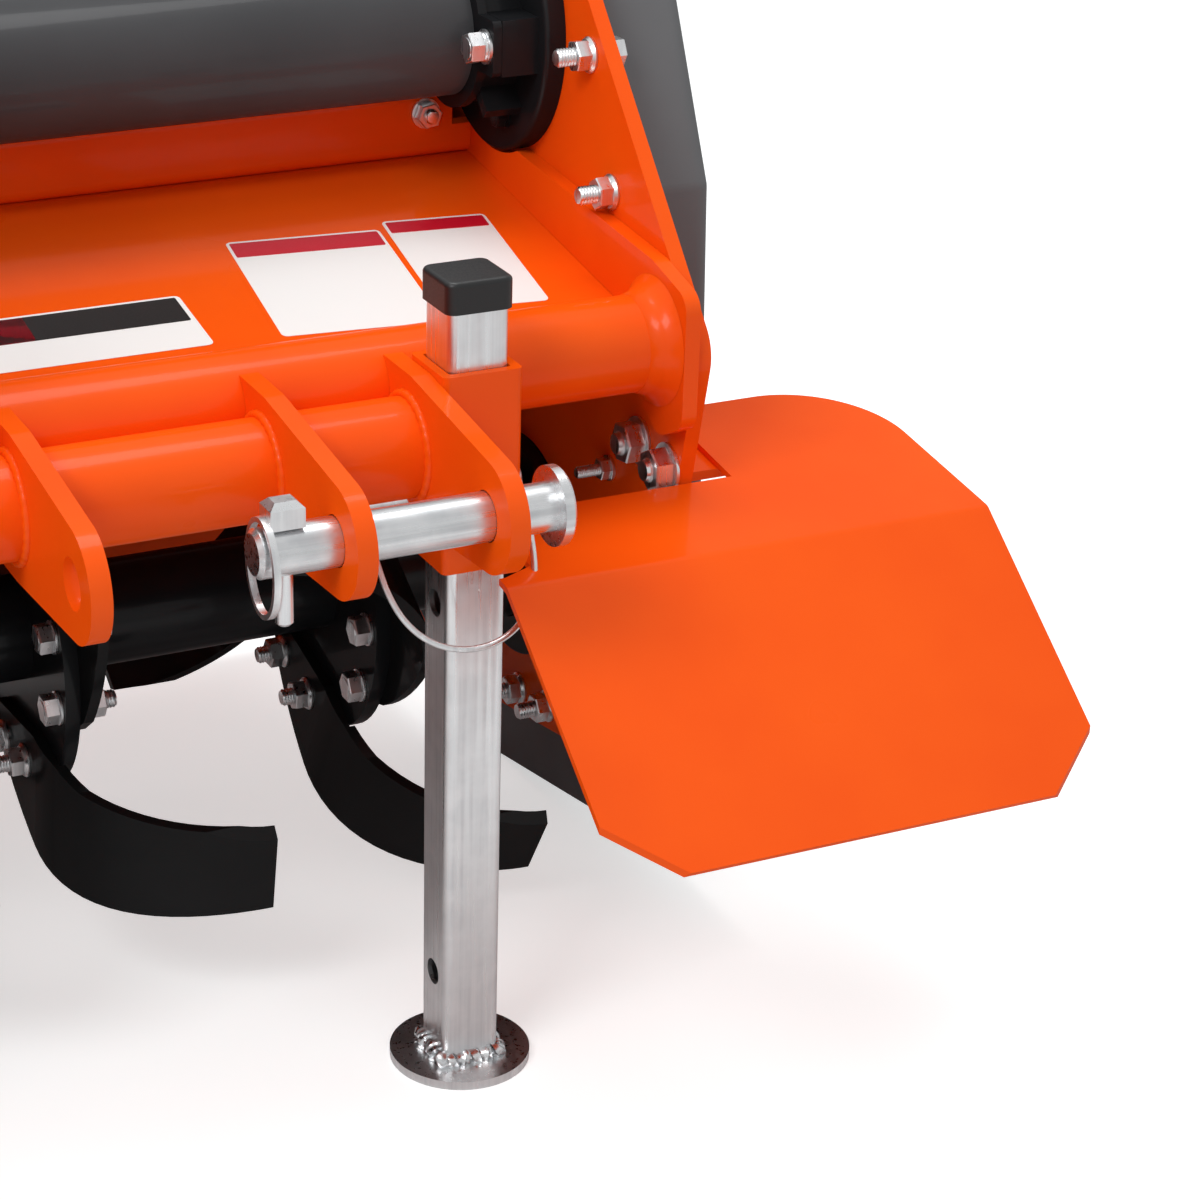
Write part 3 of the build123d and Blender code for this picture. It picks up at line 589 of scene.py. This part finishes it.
def place(at: Vector, axis: Vector, turn: float = 0.0) -> Matrix:
    """Matrix that puts local Z on an axis.

    Args:
        at: The origin's new place.
        axis: The direction local Z takes.
        turn: Turn about that axis, in degrees.

    Returns:
        The matrix.
    """
    rotation = axis.normalized().to_track_quat("Z", "Y").to_matrix().to_4x4()
    return Matrix.Translation(at) @ rotation @ Matrix.Rotation(math.radians(turn), 4, "Z")


# Fasteners


@dataclass(frozen=True)
class HexFastener:
    """A bolt or nut of one thread size, standing on a face."""

    thread: float
    across_flats: float
    head: float

    def _hexagon(self, kit: Kit, base: float, height: float, matrix: Matrix) -> None:
        """Adds a hexagon with turned-down corners.

        Args:
            base: Its lower face's height over the seat, in millimetres.
            height: Its height, in millimetres.
            matrix: Where the seat is.
        """
        corner = self.across_flats / math.sqrt(3)
        bevel = corner * 0.07
        top = base + height
        rings = [(corner - bevel, base), (corner, base + bevel), (corner, top - bevel), (corner - bevel, top)]
        kit.lathe(rings, 6, matrix)

    def _thread(self, kit: Kit, base: float, length: float, matrix: Matrix) -> None:
        """Adds a threaded end.

        Args:
            base: Where the thread starts over the seat, in millimetres.
            length: Its length, in millimetres.
            matrix: Where the seat is.
        """
        radius = self.thread / 2
        pitch = max(self.thread * 0.16, 1.2)
        turns = max(int(length / pitch), 1)
        rings = [(radius * 0.86, base)]
        for k in range(turns):
            low = base + k * length / turns
            rings += [(radius, low + pitch * 0.35), (radius * 0.86, low + pitch * 0.8)]
        rings += [(radius * 0.82, base + length + 0.4), (radius * 0.6, base + length + 0.6)]
        kit.lathe(rings, 14, matrix)

    def bolt_head(self, kit: Kit, at: Vector, axis: Vector, turn: float, spring: bool = False) -> None:
        """Adds a bolt's head on a washer.

        Args:
            at: The seat's centre.
            axis: The seat's outward direction.
            turn: Turn of the hexagon, in degrees.
            spring: Whether a split spring washer lies under the head.
        """
        matrix = place(at, axis, turn)
        washer = self.across_flats * 0.62
        base = 0.2
        kit.lathe([(washer, base), (washer, base + 1.6)], 24, matrix)
        base += 1.6
        if spring:
            split = [(washer * 0.82, base), (washer * 0.86, base + 1.0), (washer * 0.82, base + 2.2)]
            kit.lathe(split, 20, matrix)
            base += 2.2
        self._hexagon(kit, base, self.head, matrix)
        top = base + self.head
        kit.lathe([(self.across_flats * 0.4, top), (self.across_flats * 0.38, top + 0.4)], 18, matrix)

    def flange_nut(self, kit: Kit, at: Vector, axis: Vector, turn: float, stud: float) -> None:
        """Adds a flanged nut with its stud standing out.

        Args:
            at: The seat's centre.
            axis: The seat's outward direction.
            turn: Turn of the hexagon, in degrees.
            stud: How far the stud stands past the nut, in millimetres.
        """
        matrix = place(at, axis, turn)
        flange = self.across_flats * 0.64
        neck = self.across_flats * 0.56
        kit.lathe([(flange, 0.2), (flange, 1.4), (neck, 3.2)], 24, matrix)
        self._hexagon(kit, 2.4, self.head, matrix)
        self._thread(kit, 2.4 + self.head - 0.4, stud, matrix)

    def washer_nut(self, kit: Kit, at: Vector, axis: Vector, turn: float, stud: float) -> None:
        """Adds a nut on a plain washer with its stud standing out.

        Args:
            at: The seat's centre.
            axis: The seat's outward direction.
            turn: Turn of the hexagon, in degrees.
            stud: How far the stud stands past the nut, in millimetres.
        """
        matrix = place(at, axis, turn)
        kit.lathe([(self.across_flats * 0.66, 0.2), (self.across_flats * 0.66, 2.0)], 24, matrix)
        self._hexagon(kit, 2.0, self.head, matrix)
        self._thread(kit, 1.6 + self.head, stud, matrix)


M16 = HexFastener(16.0, 24.0, 12.0)
M12 = HexFastener(12.0, 18.0, 9.5)
M10 = HexFastener(10.0, 15.5, 8.0)
M8 = HexFastener(8.0, 13.0, 6.5)
X_IN = Vector((-1.0, 0.0, 0.0))


# Sub-assemblies


@dataclass
class FrameNodes:
    """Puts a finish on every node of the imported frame."""

    def build(self) -> int:
        """Dresses the nodes.

        Returns:
            How many nodes were dressed.
        """
        slots = {s["node"]: Slot(s["material_slot"]) for s in frame["record"]["subparts"]}
        for node, shown in frame["nodes"].items():
            shown.data.materials.clear()
            shown.data.materials.append(NODE_FINISH.get(node, SLOT_FINISH[slots[node]]).material())
        return len(slots)


@dataclass
class SidePlateHardware:
    """Nuts and studs on the inner face of a side plate, as (rearward, height) off the leg's foot."""

    side: Side
    flange_nuts: Places = ((172.0, 593.0), (136.5, 514.5), (256.0, 118.0), (210.0, 124.0))
    small_nuts: Places = ((127.0, 333.0),)
    big_nuts: Places = ((87.0, 366.0), (48.0, 362.0))

    def _seat(self, place_yz: Pair) -> Vector:
        """The seat's centre on the plate's inner face.

        Args:
            place_yz: Rearward and up from the leg's foot, in millimetres.

        Returns:
            The centre, in metres.
        """
        y, z = place_yz
        return Vector((self.side.value * LAYOUT.side_plate_x, LAYOUT.stand_y + y, z)) * MM

    def build(self) -> Kit:
        """Builds the fasteners.
        """
        kit = Kit(f"side_plate_nuts_{self.side.name.lower()}", "machine", ZINC, Slot.ZINC)
        inward = X_IN * self.side.value
        for k, where in enumerate(self.flange_nuts):
            M12.flange_nut(kit, self._seat(where), inward, 12.0 + 17.0 * k, 12.0)
        for where in self.small_nuts:
            M8.washer_nut(kit, self._seat(where), inward, 5.0, 16.0)
        for k, where in enumerate(self.big_nuts):
            M16.washer_nut(kit, self._seat(where), inward, 8.0 + 20.0 * k, 4.0)
        kit.finish_object()
        return kit


@dataclass
class ShaftFlangeBolts:
    """Hex bolts with spring washers on the ears of the tube's flange, and the bolts of the beam."""

    side: Side
    flange_face: float = 604.0
    circle: float = 62.0
    angles: tuple[float, ...] = (0.0, 180.0)
    beam_bolt: Point = (116.6, 328.0, 522.6)

    def build(self) -> Kit:
        """Builds the fasteners.
        """
        kit = Kit(f"shaft_bolts_{self.side.name.lower()}", "machine", ZINC, Slot.ZINC)
        inward = X_IN * self.side.value
        for k, degrees in enumerate(self.angles):
            angle = math.radians(degrees)
            at = Vector(
                (
                    self.side.value * self.flange_face,
                    LAYOUT.shaft_y + self.circle * math.cos(angle),
                    LAYOUT.shaft_z + self.circle * math.sin(angle),
                )
            )
            M12.bolt_head(kit, at * MM, inward, 20.0 * k, spring=True)
        M10.washer_nut(kit, LAYOUT.leg(*self.beam_bolt, self.side), Vector((0.0, -1.0, 0.0)), 10.0, 4.0)
        kit.finish_object()
        return kit


@dataclass
class TineBolts:
    """Two bolts a tine: the nut and stud on the tine, the head on the other face of the flange."""

    flanges: tuple[float, ...] = (499.0, 287.0, 95.67, -95.67, -287.0, -499.0)
    flange_half: float = 5.0
    tine: float = 7.3
    first_angle: float = 59.0
    lead: float = 20.0
    places: Places = ((90.0, 3.0), (77.0, -43.0))
    stud: float = 8.0

    def build(self) -> Kit:
        """Builds the fasteners.
        """
        kit = Kit("tine_bolts", "rotor", ZINC, Slot.ZINC)
        for number, x in enumerate(self.flanges):
            for quarter in range(4):
                throw = 1.0 if quarter % 2 == 0 else -1.0
                degrees = self.first_angle + number * self.lead + 90 * quarter
                turn = Matrix.Rotation(-math.radians(degrees), 3, "X")
                for k, (y, z) in enumerate(self.places):
                    centre = Vector((x, LAYOUT.rotor_y, LAYOUT.rotor_z)) + turn @ Vector((0.0, y, z))
                    nut = centre + Vector((-throw * (self.flange_half + self.tine), 0.0, 0.0))
                    head = centre + Vector((throw * self.flange_half, 0.0, 0.0))
                    M12.flange_nut(kit, nut * MM, Vector((-throw, 0.0, 0.0)), 23.0 * k, self.stud)
                    M12.bolt_head(kit, head * MM, Vector((throw, 0.0, 0.0)), 11.0 * k)
        kit.finish_object()
        return kit


@dataclass(frozen=True)
class Seat:
    """A flat place where a fastener stands."""

    at: Vector
    normal: Vector


class SeatFinder:
    """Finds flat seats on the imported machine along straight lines."""

    flatness = 0.4 * MM
    rim_points = 12

    def __init__(self) -> None:
        """Collects every node's faces in one tree."""
        bpy.context.view_layer.update()
        vertices, faces = [], []
        for shown in frame["nodes"].values():
            start = len(vertices)
            vertices += [shown.matrix_world @ v.co for v in shown.data.vertices]
            faces += [[start + i for i in face.vertices] for face in shown.data.polygons]
        self.tree = BVHTree.FromPolygons(vertices, faces)

    def seat(self, start: Vector, along: Vector, radius: float) -> Seat | None:
        """Finds where a line meets the machine, if the face is flat there.

        Args:
            start: Where the line starts, in metres.
            along: Its direction.
            radius: How far round the seat the face has to be flat, in metres.

        Returns:
            The seat, or None where there is no flat face.
        """
        at, normal, _, _ = self.tree.ray_cast(start, along)
        if at is None:
            return None
        normal = -normal if normal.dot(along) > 0 else normal
        side = along.orthogonal().normalized() * radius
        for k in range(self.rim_points):
            spoke = Matrix.Rotation(math.tau * k / self.rim_points, 3, along) @ side
            rim = self.tree.ray_cast(start + spoke, along)[0]
            if rim is None or abs((rim - at).dot(normal)) > self.flatness:
                return None
        return Seat(at, normal)


class Approach(Enum):
    """The way from which a row of fasteners is put on, as a direction of travel."""

    OUTSIDE = (-1.0, 0.0, 0.0)
    INSIDE = (1.0, 0.0, 0.0)
    REAR = (0.0, -1.0, 0.0)
    TOP = (0.0, 0.0, -1.0)


def ring_points(centre: Pair, radius: float, angles: tuple[float, ...]) -> Places:
    """Points on a circle.

    Args:
        centre: The circle's centre.
        radius: Its radius.
        angles: Where the points are, in degrees.

    Returns:
        The points.
    """
    turns = [math.radians(angle) for angle in angles]
    return tuple((centre[0] + radius * math.cos(t), centre[1] + radius * math.sin(t)) for t in turns)


@dataclass
class BoltRow:
    """Like bolts whose seats are found on the machine.

    The places are (Y, Z) for the outside and the inside, (X, Z) for the rear and (X, Y) for the top.
    """

    name: str
    side: Side
    approach: Approach
    places: Places
    fastener: HexFastener = M12
    start: float = 900.0
    nut: bool = False
    finish: Finish = ZINC
    slot: Slot = Slot.ZINC

    def _line(self, first: float, second: float) -> tuple[Vector, Vector]:
        """The line through one place.

        Args:
            first: The place's first coordinate.
            second: The place's second coordinate.

        Returns:
            The line's start and its direction.
        """
        sign = self.side.value
        way = Vector(self.approach.value)
        if self.approach in (Approach.OUTSIDE, Approach.INSIDE):
            return Vector((sign * self.start, first, second)) * MM, Vector((sign * way.x, 0.0, 0.0))
        if self.approach is Approach.REAR:
            return Vector((sign * first, self.start, second)) * MM, way
        return Vector((sign * first, second, self.start)) * MM, way

    def build(self, finder: SeatFinder) -> Kit:
        """Builds the row.

        Args:
            finder: Finds the seats.
        """
        kit = Kit(f"{self.name}_{self.side.name.lower()}", "machine", self.finish, self.slot)
        rim = self.fastener.across_flats * 0.64 * MM
        missed = []
        for k, where in enumerate(self.places):
            start, along = self._line(*where)
            seat = finder.seat(start, along, rim)
            if seat is None:
                missed.append(where)
            elif self.nut:
                self.fastener.washer_nut(kit, seat.at, seat.normal, 13.0 * k, 3.0)
            else:
                self.fastener.bolt_head(kit, seat.at, seat.normal, 13.0 * k)
        if kit.faces:
            kit.finish_object()
        LOG.info("%s: %d bolts, no flat seat at %s", kit.name, len(self.places) - len(missed), missed)
        return kit


@dataclass
class HiddenSideBolts:
    """The bolts of the sides that the usual view doesn't show."""

    plate: Places = ((-40.0, 593.0), (-75.5, 514.5), (44.0, 118.0), (-2.0, 124.0))
    bracket: Places = ((-125.0, 366.0), (-146.0, 362.0))
    skid: Places = ((-92.0, 138.0), (178.0, 112.0))
    brace_head: Places = ((-214.0, 841.0),)
    brace_foot: Places = ((216.0, 588.0),)
    hub: Pair = (LAYOUT.rotor_y, LAYOUT.rotor_z)
    hub_circle: float = 58.0
    hub_angles: tuple[float, ...] = (30.0, 90.0, 150.0, 210.0, 270.0, 330.0)
    housing: Pair = (LAYOUT.shaft_y, LAYOUT.shaft_z)
    housing_circle: float = 62.0
    housing_angles: tuple[float, ...] = (246.4, 336.4, 66.4, 156.4)
    past_tube_flange: float = 612.0
    case_low_circle: float = 80.0
    case_low_angles: tuple[float, ...] = (165.0, 200.0, 235.0, 270.0, 305.0, 340.0)
    case_high_circle: float = 55.0
    case_high_angles: tuple[float, ...] = (0.0, 60.0, 120.0, 175.0)
    case_front: Places = ((-17.0, 500.0), (-20.0, 415.0), (-25.0, 330.0))
    case_rear: Places = ((120.0, 330.0), (124.0, 415.0), (128.0, 500.0))
    case_plug: Places = ((60.0, 400.0),)
    gearbox_cover: Places = ((-40.0, 592.0), (40.0, 592.0), (-40.0, 555.0), (40.0, 555.0))
    gearbox_plug: Places = ((0.0, 100.0),)

    def _housing_screws(self, side: Side) -> BoltRow:
        """The black screws on a bearing housing's inner face.

        Args:
            side: The housing's side.

        Returns:
            Their row.
        """
        places = ring_points(self.housing, self.housing_circle, self.housing_angles)
        row = BoltRow("housing_screws", side, Approach.INSIDE, places, M8, self.past_tube_flange)
        row.finish, row.slot = BLACK, Slot.BLACK
        return row

    def _rows(self) -> list[BoltRow]:
        """Lists the rows of bolts.

        Returns:
            The rows, both sides' own first.
        """
        left, right = Side.LEFT, Side.RIGHT
        out, into = Approach.OUTSIDE, Approach.INSIDE
        rows = []
        for side in Side:
            rows += [
                BoltRow("plate_bolts", side, out, self.plate),
                BoltRow("bracket_bolts", side, out, self.bracket, M10),
                BoltRow("skid_bolts", side, out, self.skid),
                BoltRow("brace_head_bolt", side, out, self.brace_head, M16),
                BoltRow("brace_head_nut", side, into, self.brace_head, M16, 0.0, True),
                BoltRow("brace_foot_bolt", side, out, self.brace_foot, M16),
                self._housing_screws(side),
            ]
        hub = ring_points(self.hub, self.hub_circle, self.hub_angles)
        housing = ring_points(self.housing, self.housing_circle, self.housing_angles)
        case_low = ring_points(self.hub, self.case_low_circle, self.case_low_angles)
        case_high = ring_points(self.housing, self.case_high_circle, self.case_high_angles)
        rows += [
            BoltRow("hub_bolts", right, out, hub),
            BoltRow("housing_bolts", right, out, housing),
            BoltRow("case_low_bolts", left, out, case_low, M8),
            BoltRow("case_high_bolts", left, out, case_high, M8),
            BoltRow("case_side_bolts", left, out, self.case_front + self.case_rear, M8),
            BoltRow("case_plug", left, out, self.case_plug, M16),
            BoltRow("gearbox_cover", left, Approach.REAR, self.gearbox_cover, M8),
            BoltRow("gearbox_plug", left, Approach.TOP, self.gearbox_plug, M16),
        ]
        return rows

    def build(self) -> int:
        """Builds the rows.

        Returns:
            How many faces they have.
        """
        finder = SeatFinder()
        return sum(len(row.build(finder).faces) for row in self._rows())


@dataclass
class LockPin:
    """The stand's lock pin and the wire bail that hangs from its ends in front of the leg."""

    side: Side
    height: float = 394.0
    wire: float = 1.9
    pin_radius: float = 7.5
    centre: float = -16.0
    half_width: float = 50.0
    drop: float = 98.0
    swing: float = 34.0
    steps: int = 60

    def build(self) -> Kit:
        """Builds the pin and its bail.
        """
        kit = Kit(f"lock_pin_{self.side.name.lower()}", "machine", ZINC, Slot.ZINC)
        ends = (self.centre - self.half_width, self.centre + self.half_width)
        left, right = (LAYOUT.leg(x, 0.0, self.height, self.side) for x in ends)
        bar = [left, left.lerp(right, 0.02), left.lerp(right, 0.98), right]
        tip = self.pin_radius * 0.8
        kit.sweep(bar, [tip, self.pin_radius, self.pin_radius, tip], 24)
        lean = math.radians(self.swing)
        path = []
        for k in range(self.steps + 1):
            angle = math.pi * k / self.steps
            fall = self.drop * math.sqrt(math.sin(angle))
            x = self.centre - self.half_width * math.cos(angle)
            y, z = -fall * math.sin(lean), self.height - fall * math.cos(lean)
            path.append(LAYOUT.leg(x, y, z, self.side))
        kit.sweep(path, [self.wire] * len(path), 12)
        kit.finish_object(60.0)
        return kit


@dataclass
class FootWeld:
    """The bright weld that joins a leg to its round foot."""

    side: Side
    half: float = 19.0
    bead: float = 5.0
    height: float = 8.2
    steps: int = 26
    ripple: Pair = (0.26, 0.14)

    def build(self) -> Kit:
        """Builds the bead.
        """
        kit = Kit(f"foot_weld_{self.side.name.lower()}", f"stand_{self.side.name.lower()}", WELD, Slot.ZINC)
        path, radii = [], []
        corners = ((1, -1), (1, 1), (-1, 1), (-1, -1))
        for k, (cx, cy) in enumerate(corners):
            nx, ny = corners[(k + 1) % 4]
            for step in range(self.steps):
                t = step / self.steps
                x, y = (cx + (nx - cx) * t) * self.half, (cy + (ny - cy) * t) * self.half
                path.append(LAYOUT.leg(x, y, self.height + 0.7 * math.sin(step * 1.7 + k), self.side))
                coarse, fine = math.sin(step * 2.3 + 3 * k), math.sin(step * 5.1)
                radii.append(self.bead * (1.0 + self.ripple[0] * coarse + self.ripple[1] * fine))
        kit.sweep(path, radii, 10, closed=True)
        kit.finish_object(80.0)
        return kit


@dataclass
class TubeWelds:
    """The main tube's flare and the painted weld beads between the hitch tube and its lugs."""

    side: Side
    main: Point = (639.6, -156.7, 444.0)
    flare: Places = ((29.5, 0.2), (41.0, 0.2), (36.5, 3.5), (32.5, 9.0), (30.2, 17.0), (29.5, 17.0))
    tube: float = 30.0
    hitch: Pair = (-214.0, 423.0)
    lugs: tuple[float, ...] = (213.5, 362.0, 451.7)
    lug_thickness: float = 12.0
    lug_gap: float = 0.2

    def _bead(self, kit: Kit, centre: Vector, radius: float, size: float, start: float, turn: float) -> None:
        """Adds a rippled bead round an X axis.

        Args:
            centre: The ring's centre, in millimetres.
            radius: The ring's radius.
            size: The bead's radius.
            start: Where the bead starts, in degrees.
            turn: How far it runs, in degrees.
        """
        steps = max(int(turn * radius / 120), 12)
        path, radii = [], []
        for k in range(steps + 1):
            angle = math.radians(start + turn * k / steps)
            spoke = Vector((0.0, math.cos(angle), math.sin(angle)))
            path.append((centre + spoke * radius) * MM)
            radii.append(size * (1.0 + 0.1 * math.sin(k * 1.9)))
        kit.sweep(path, radii, 8)

    def build(self) -> Kit:
        """Builds the beads.
        """
        kit = Kit(f"tube_welds_{self.side.name.lower()}", "machine", ORANGE, Slot.ORANGE)
        sign = self.side.value
        x, y, z = self.main
        kit.ring(list(self.flare), 40, place(Vector((sign * x, y, z)) * MM, X_IN * sign))
        for lug in self.lugs:
            for face in (lug - self.lug_gap, lug + self.lug_thickness + self.lug_gap):
                self._bead(kit, Vector((sign * face, *self.hitch)), self.tube + 1.0, 3.0, 20.0, 270.0)
        kit.finish_object(80.0)
        return kit


@dataclass
class BlankDecal:
    """A blank rounded film on the deck, with plain bands."""

    name: str
    centre: Pair
    size: Pair
    turn: float
    bands: tuple[tuple[float, float, float, float, Finish], ...]
    radius: float = 4.0
    band_radius: float = 1.2
    film: float = 0.4
    band_film: float = 0.7
    underside: float = 0.15
    start_y: float = -126.4
    start_z: float = 452.0
    slope: float = 9.2

    def _sheet(
        self, name: str, box: tuple[float, float, float, float], radius: float, lift: float, finish: Finish
    ) -> None:
        """Adds one rounded sheet that lies on the deck.

        Args:
            name: The piece's name.
            box: Its left, front, right and rear in the decal's own millimetres.
            radius: Its corner radius.
            lift: Its top's height over the deck.
            finish: Its finish.
        """
        kit = Kit(name, "machine", finish, Slot.ORANGE)
        left, front, right, rear = box
        outline = []
        for cx, cy, first in ((right, rear, 0), (left, rear, 90), (left, front, 180), (right, front, 270)):
            inner_x = cx - radius if cx == right else cx + radius
            inner_y = cy - radius if cy == rear else cy + radius
            for k in range(7):
                angle = math.radians(first + 15 * k)
                outline.append((inner_x + radius * math.cos(angle), inner_y + radius * math.sin(angle)))
        count = len(outline)
        vertices = [Vector((x, y, z)) * MM for z in (self.underside, lift) for x, y in outline]
        faces = [(k, (k + 1) % count, count + (k + 1) % count, count + k) for k in range(count)]
        faces += [tuple(count + k for k in range(count)), tuple(reversed(range(count)))]
        slope = math.radians(self.slope)
        x, y = self.centre
        along = (y - self.start_y) * MM
        origin = Vector((x * MM, y * MM, self.start_z * MM + along * math.tan(slope)))
        tilt, turn = Matrix.Rotation(slope, 4, "X"), Matrix.Rotation(math.radians(self.turn), 4, "Z")
        kit.add(vertices, faces, Matrix.Translation(origin) @ tilt @ turn)
        kit.finish_object()

    def build(self) -> int:
        """Builds the film and its bands.

        Returns:
            How many sheets were made.
        """
        width, depth = self.size
        whole = (-width / 2, -depth / 2, width / 2, depth / 2)
        self._sheet(self.name, whole, self.radius, self.film, FILM_WHITE)
        for k, (x0, y0, x1, y1, finish) in enumerate(self.bands):
            box = ((x0 - 0.5) * width, (y0 - 0.5) * depth, (x1 - 0.5) * width, (y1 - 0.5) * depth)
            self._sheet(f"{self.name}_band_{k + 1}", box, self.band_radius, self.band_film, finish)
        return 1 + len(self.bands)


@dataclass(frozen=True)
class Lamp:
    """A soft box over the machine, with its place and size in metres and its power in watts."""

    name: str
    at: Point
    size: Pair
    power: float
    target: Point = (0.2, 0.0, 0.3)

    def build(self) -> None:
        """Adds the lamp to the scene."""
        data = bpy.data.lights.new(self.name, "AREA")
        data.shape = "RECTANGLE"
        data.size, data.size_y = self.size
        data.energy = self.power
        lamp = bpy.data.objects.new(self.name, data)
        lamp.location = self.at
        lamp.rotation_mode = "QUATERNION"
        lamp.rotation_quaternion = (Vector(self.target) - Vector(self.at)).to_track_quat("-Z", "Y")
        bpy.context.scene.collection.objects.link(lamp)


@dataclass
class Studio:
    """Floor, lamps, world and camera."""

    camera_at: Point = (-0.2055, -1.7394, 1.0604)
    azimuth: float = 23.1
    pitch: float = 25.9
    lens: float = 91.77
    shift: Pair = (0.1683, 0.0908)
    lamps: tuple[Lamp, ...] = (
        Lamp("key", (-1.6, -1.4, 2.6), (1.4, 1.0), 39.0),
        Lamp("top", (0.6, 0.4, 3.0), (1.6, 1.2), 32.0),
    )
    floor_half: float = 12.0
    floor_bounce: Colour = (0.7, 0.7, 0.7)
    floor_seen: Colour = (0.77, 0.8, 0.8)
    floor_glow: float = 0.57
    floor_shine: float = 0.1
    ambient: float = 0.6
    reflected: float = 0.72

    def _floor(self) -> None:
        """Lays a white floor that keeps the object's shadow."""
        mesh = bpy.data.meshes.new("floor")
        half = self.floor_half
        corners = [(-half, -half, 0), (half, -half, 0), (half, half, 0), (-half, half, 0)]
        mesh.from_pydata(corners, [], [(0, 1, 2, 3)])
        floor = bpy.data.objects.new("floor", mesh)
        bpy.context.scene.collection.objects.link(floor)
        material, graph, shader = start_material("floor")
        shader.inputs["Roughness"].default_value = 0.7
        shader.inputs["Specular IOR Level"].default_value = 0.0
        path = graph.node("ShaderNodeLightPath")
        seen = path.outputs["Is Camera Ray"]
        graph.link(graph.mix(seen, self.floor_bounce, self.floor_seen), shader.inputs["Base Color"])
        shader.inputs["Emission Color"].default_value = (1.0, 1.0, 1.0, 1.0)
        shiny = graph.math("MULTIPLY", path.outputs["Is Glossy Ray"], self.floor_shine)
        direct = graph.math("MULTIPLY", seen, self.floor_glow)
        graph.link(graph.math("MAXIMUM", direct, shiny), shader.inputs["Emission Strength"])
        mesh.materials.append(material)

    def _world(self) -> None:
        """Makes the world white to the camera and a soft grey to the rest."""
        world = bpy.data.worlds.new("studio")
        world.use_nodes = True
        bpy.context.scene.world = world
        graph = Graph(world.node_tree)
        background = world.node_tree.nodes["Background"]
        background.inputs["Color"].default_value = (1.0, 1.0, 1.0, 1.0)
        path = graph.node("ShaderNodeLightPath")
        direct = graph.math("MAXIMUM", path.outputs["Is Camera Ray"], path.outputs["Is Transmission Ray"])
        shiny = graph.math("MULTIPLY", path.outputs["Is Glossy Ray"], self.reflected)
        rest = graph.math("MAXIMUM", shiny, self.ambient)
        graph.link(graph.math("MAXIMUM", direct, rest), background.inputs["Strength"])

    def _camera(self) -> None:
        """Puts the camera at the photograph's viewing angle."""
        data = bpy.data.cameras.new("camera")
        data.sensor_width = 36.0
        data.lens = self.lens
        data.shift_x, data.shift_y = self.shift
        data.clip_end = 60.0
        camera = bpy.data.objects.new("camera", data)
        camera.location = self.camera_at
        turn, drop = math.radians(self.azimuth), math.radians(self.pitch)
        look = Vector((math.sin(turn) * math.cos(drop), math.cos(turn) * math.cos(drop), -math.sin(drop)))
        camera.rotation_mode = "QUATERNION"
        camera.rotation_quaternion = look.to_track_quat("-Z", "Y")
        bpy.context.scene.collection.objects.link(camera)
        bpy.context.scene.camera = camera

    def build(self) -> None:
        """Builds the studio."""
        bpy.context.scene.view_settings.view_transform = "Standard"
        self._floor()
        for lamp in self.lamps:
            lamp.build()
        self._world()
        self._camera()


LEFT_HEADER = ((0.02, 0.83, 0.98, 0.98, FILM_RED),)
SMALL_HEADER = ((0.03, 0.86, 0.97, 0.98, FILM_RED),)
MIDDLE_BANDS = ((0.02, 0.5, 0.98, 0.96, FILM_BLACK), (0.02, 0.5, 0.37, 0.96, FILM_RED))
DECALS = (
    BlankDecal("decal_front_left", (476.0, -37.0), (103.0, 130.0), -4.5, LEFT_HEADER),
    BlankDecal("decal_front_left_small", (568.0, -32.0), (71.0, 126.0), -5.0, SMALL_HEADER),
    BlankDecal("decal_front_middle", (297.0, -62.0), (160.0, 66.0), 0.0, MIDDLE_BANDS),
)


def record_bounds() -> None:
    """Brings the scene's transforms up to date."""
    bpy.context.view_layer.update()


def main() -> None:
    """Dresses the frame and builds the scene round it."""
    logging.basicConfig(level=logging.INFO, format="%(name)s: %(message)s")
    LOG.info("dressed %d nodes", FrameNodes().build())
    for side in Side:
        for part in (
            SidePlateHardware(side),
            ShaftFlangeBolts(side),
            LockPin(side),
            FootWeld(side),
            TubeWelds(side),
        ):
            kit = part.build()
            LOG.info("%s: %d faces", kit.name, len(kit.faces))
    LOG.info("hidden side bolts: %d faces", HiddenSideBolts().build())
    kit = TineBolts().build()
    LOG.info("%s: %d faces", kit.name, len(kit.faces))
    for decal in DECALS:
        LOG.info("%s: %d sheets", decal.name, decal.build())
    Studio().build()
    record_bounds()


if __name__ == "__main__":
    main()
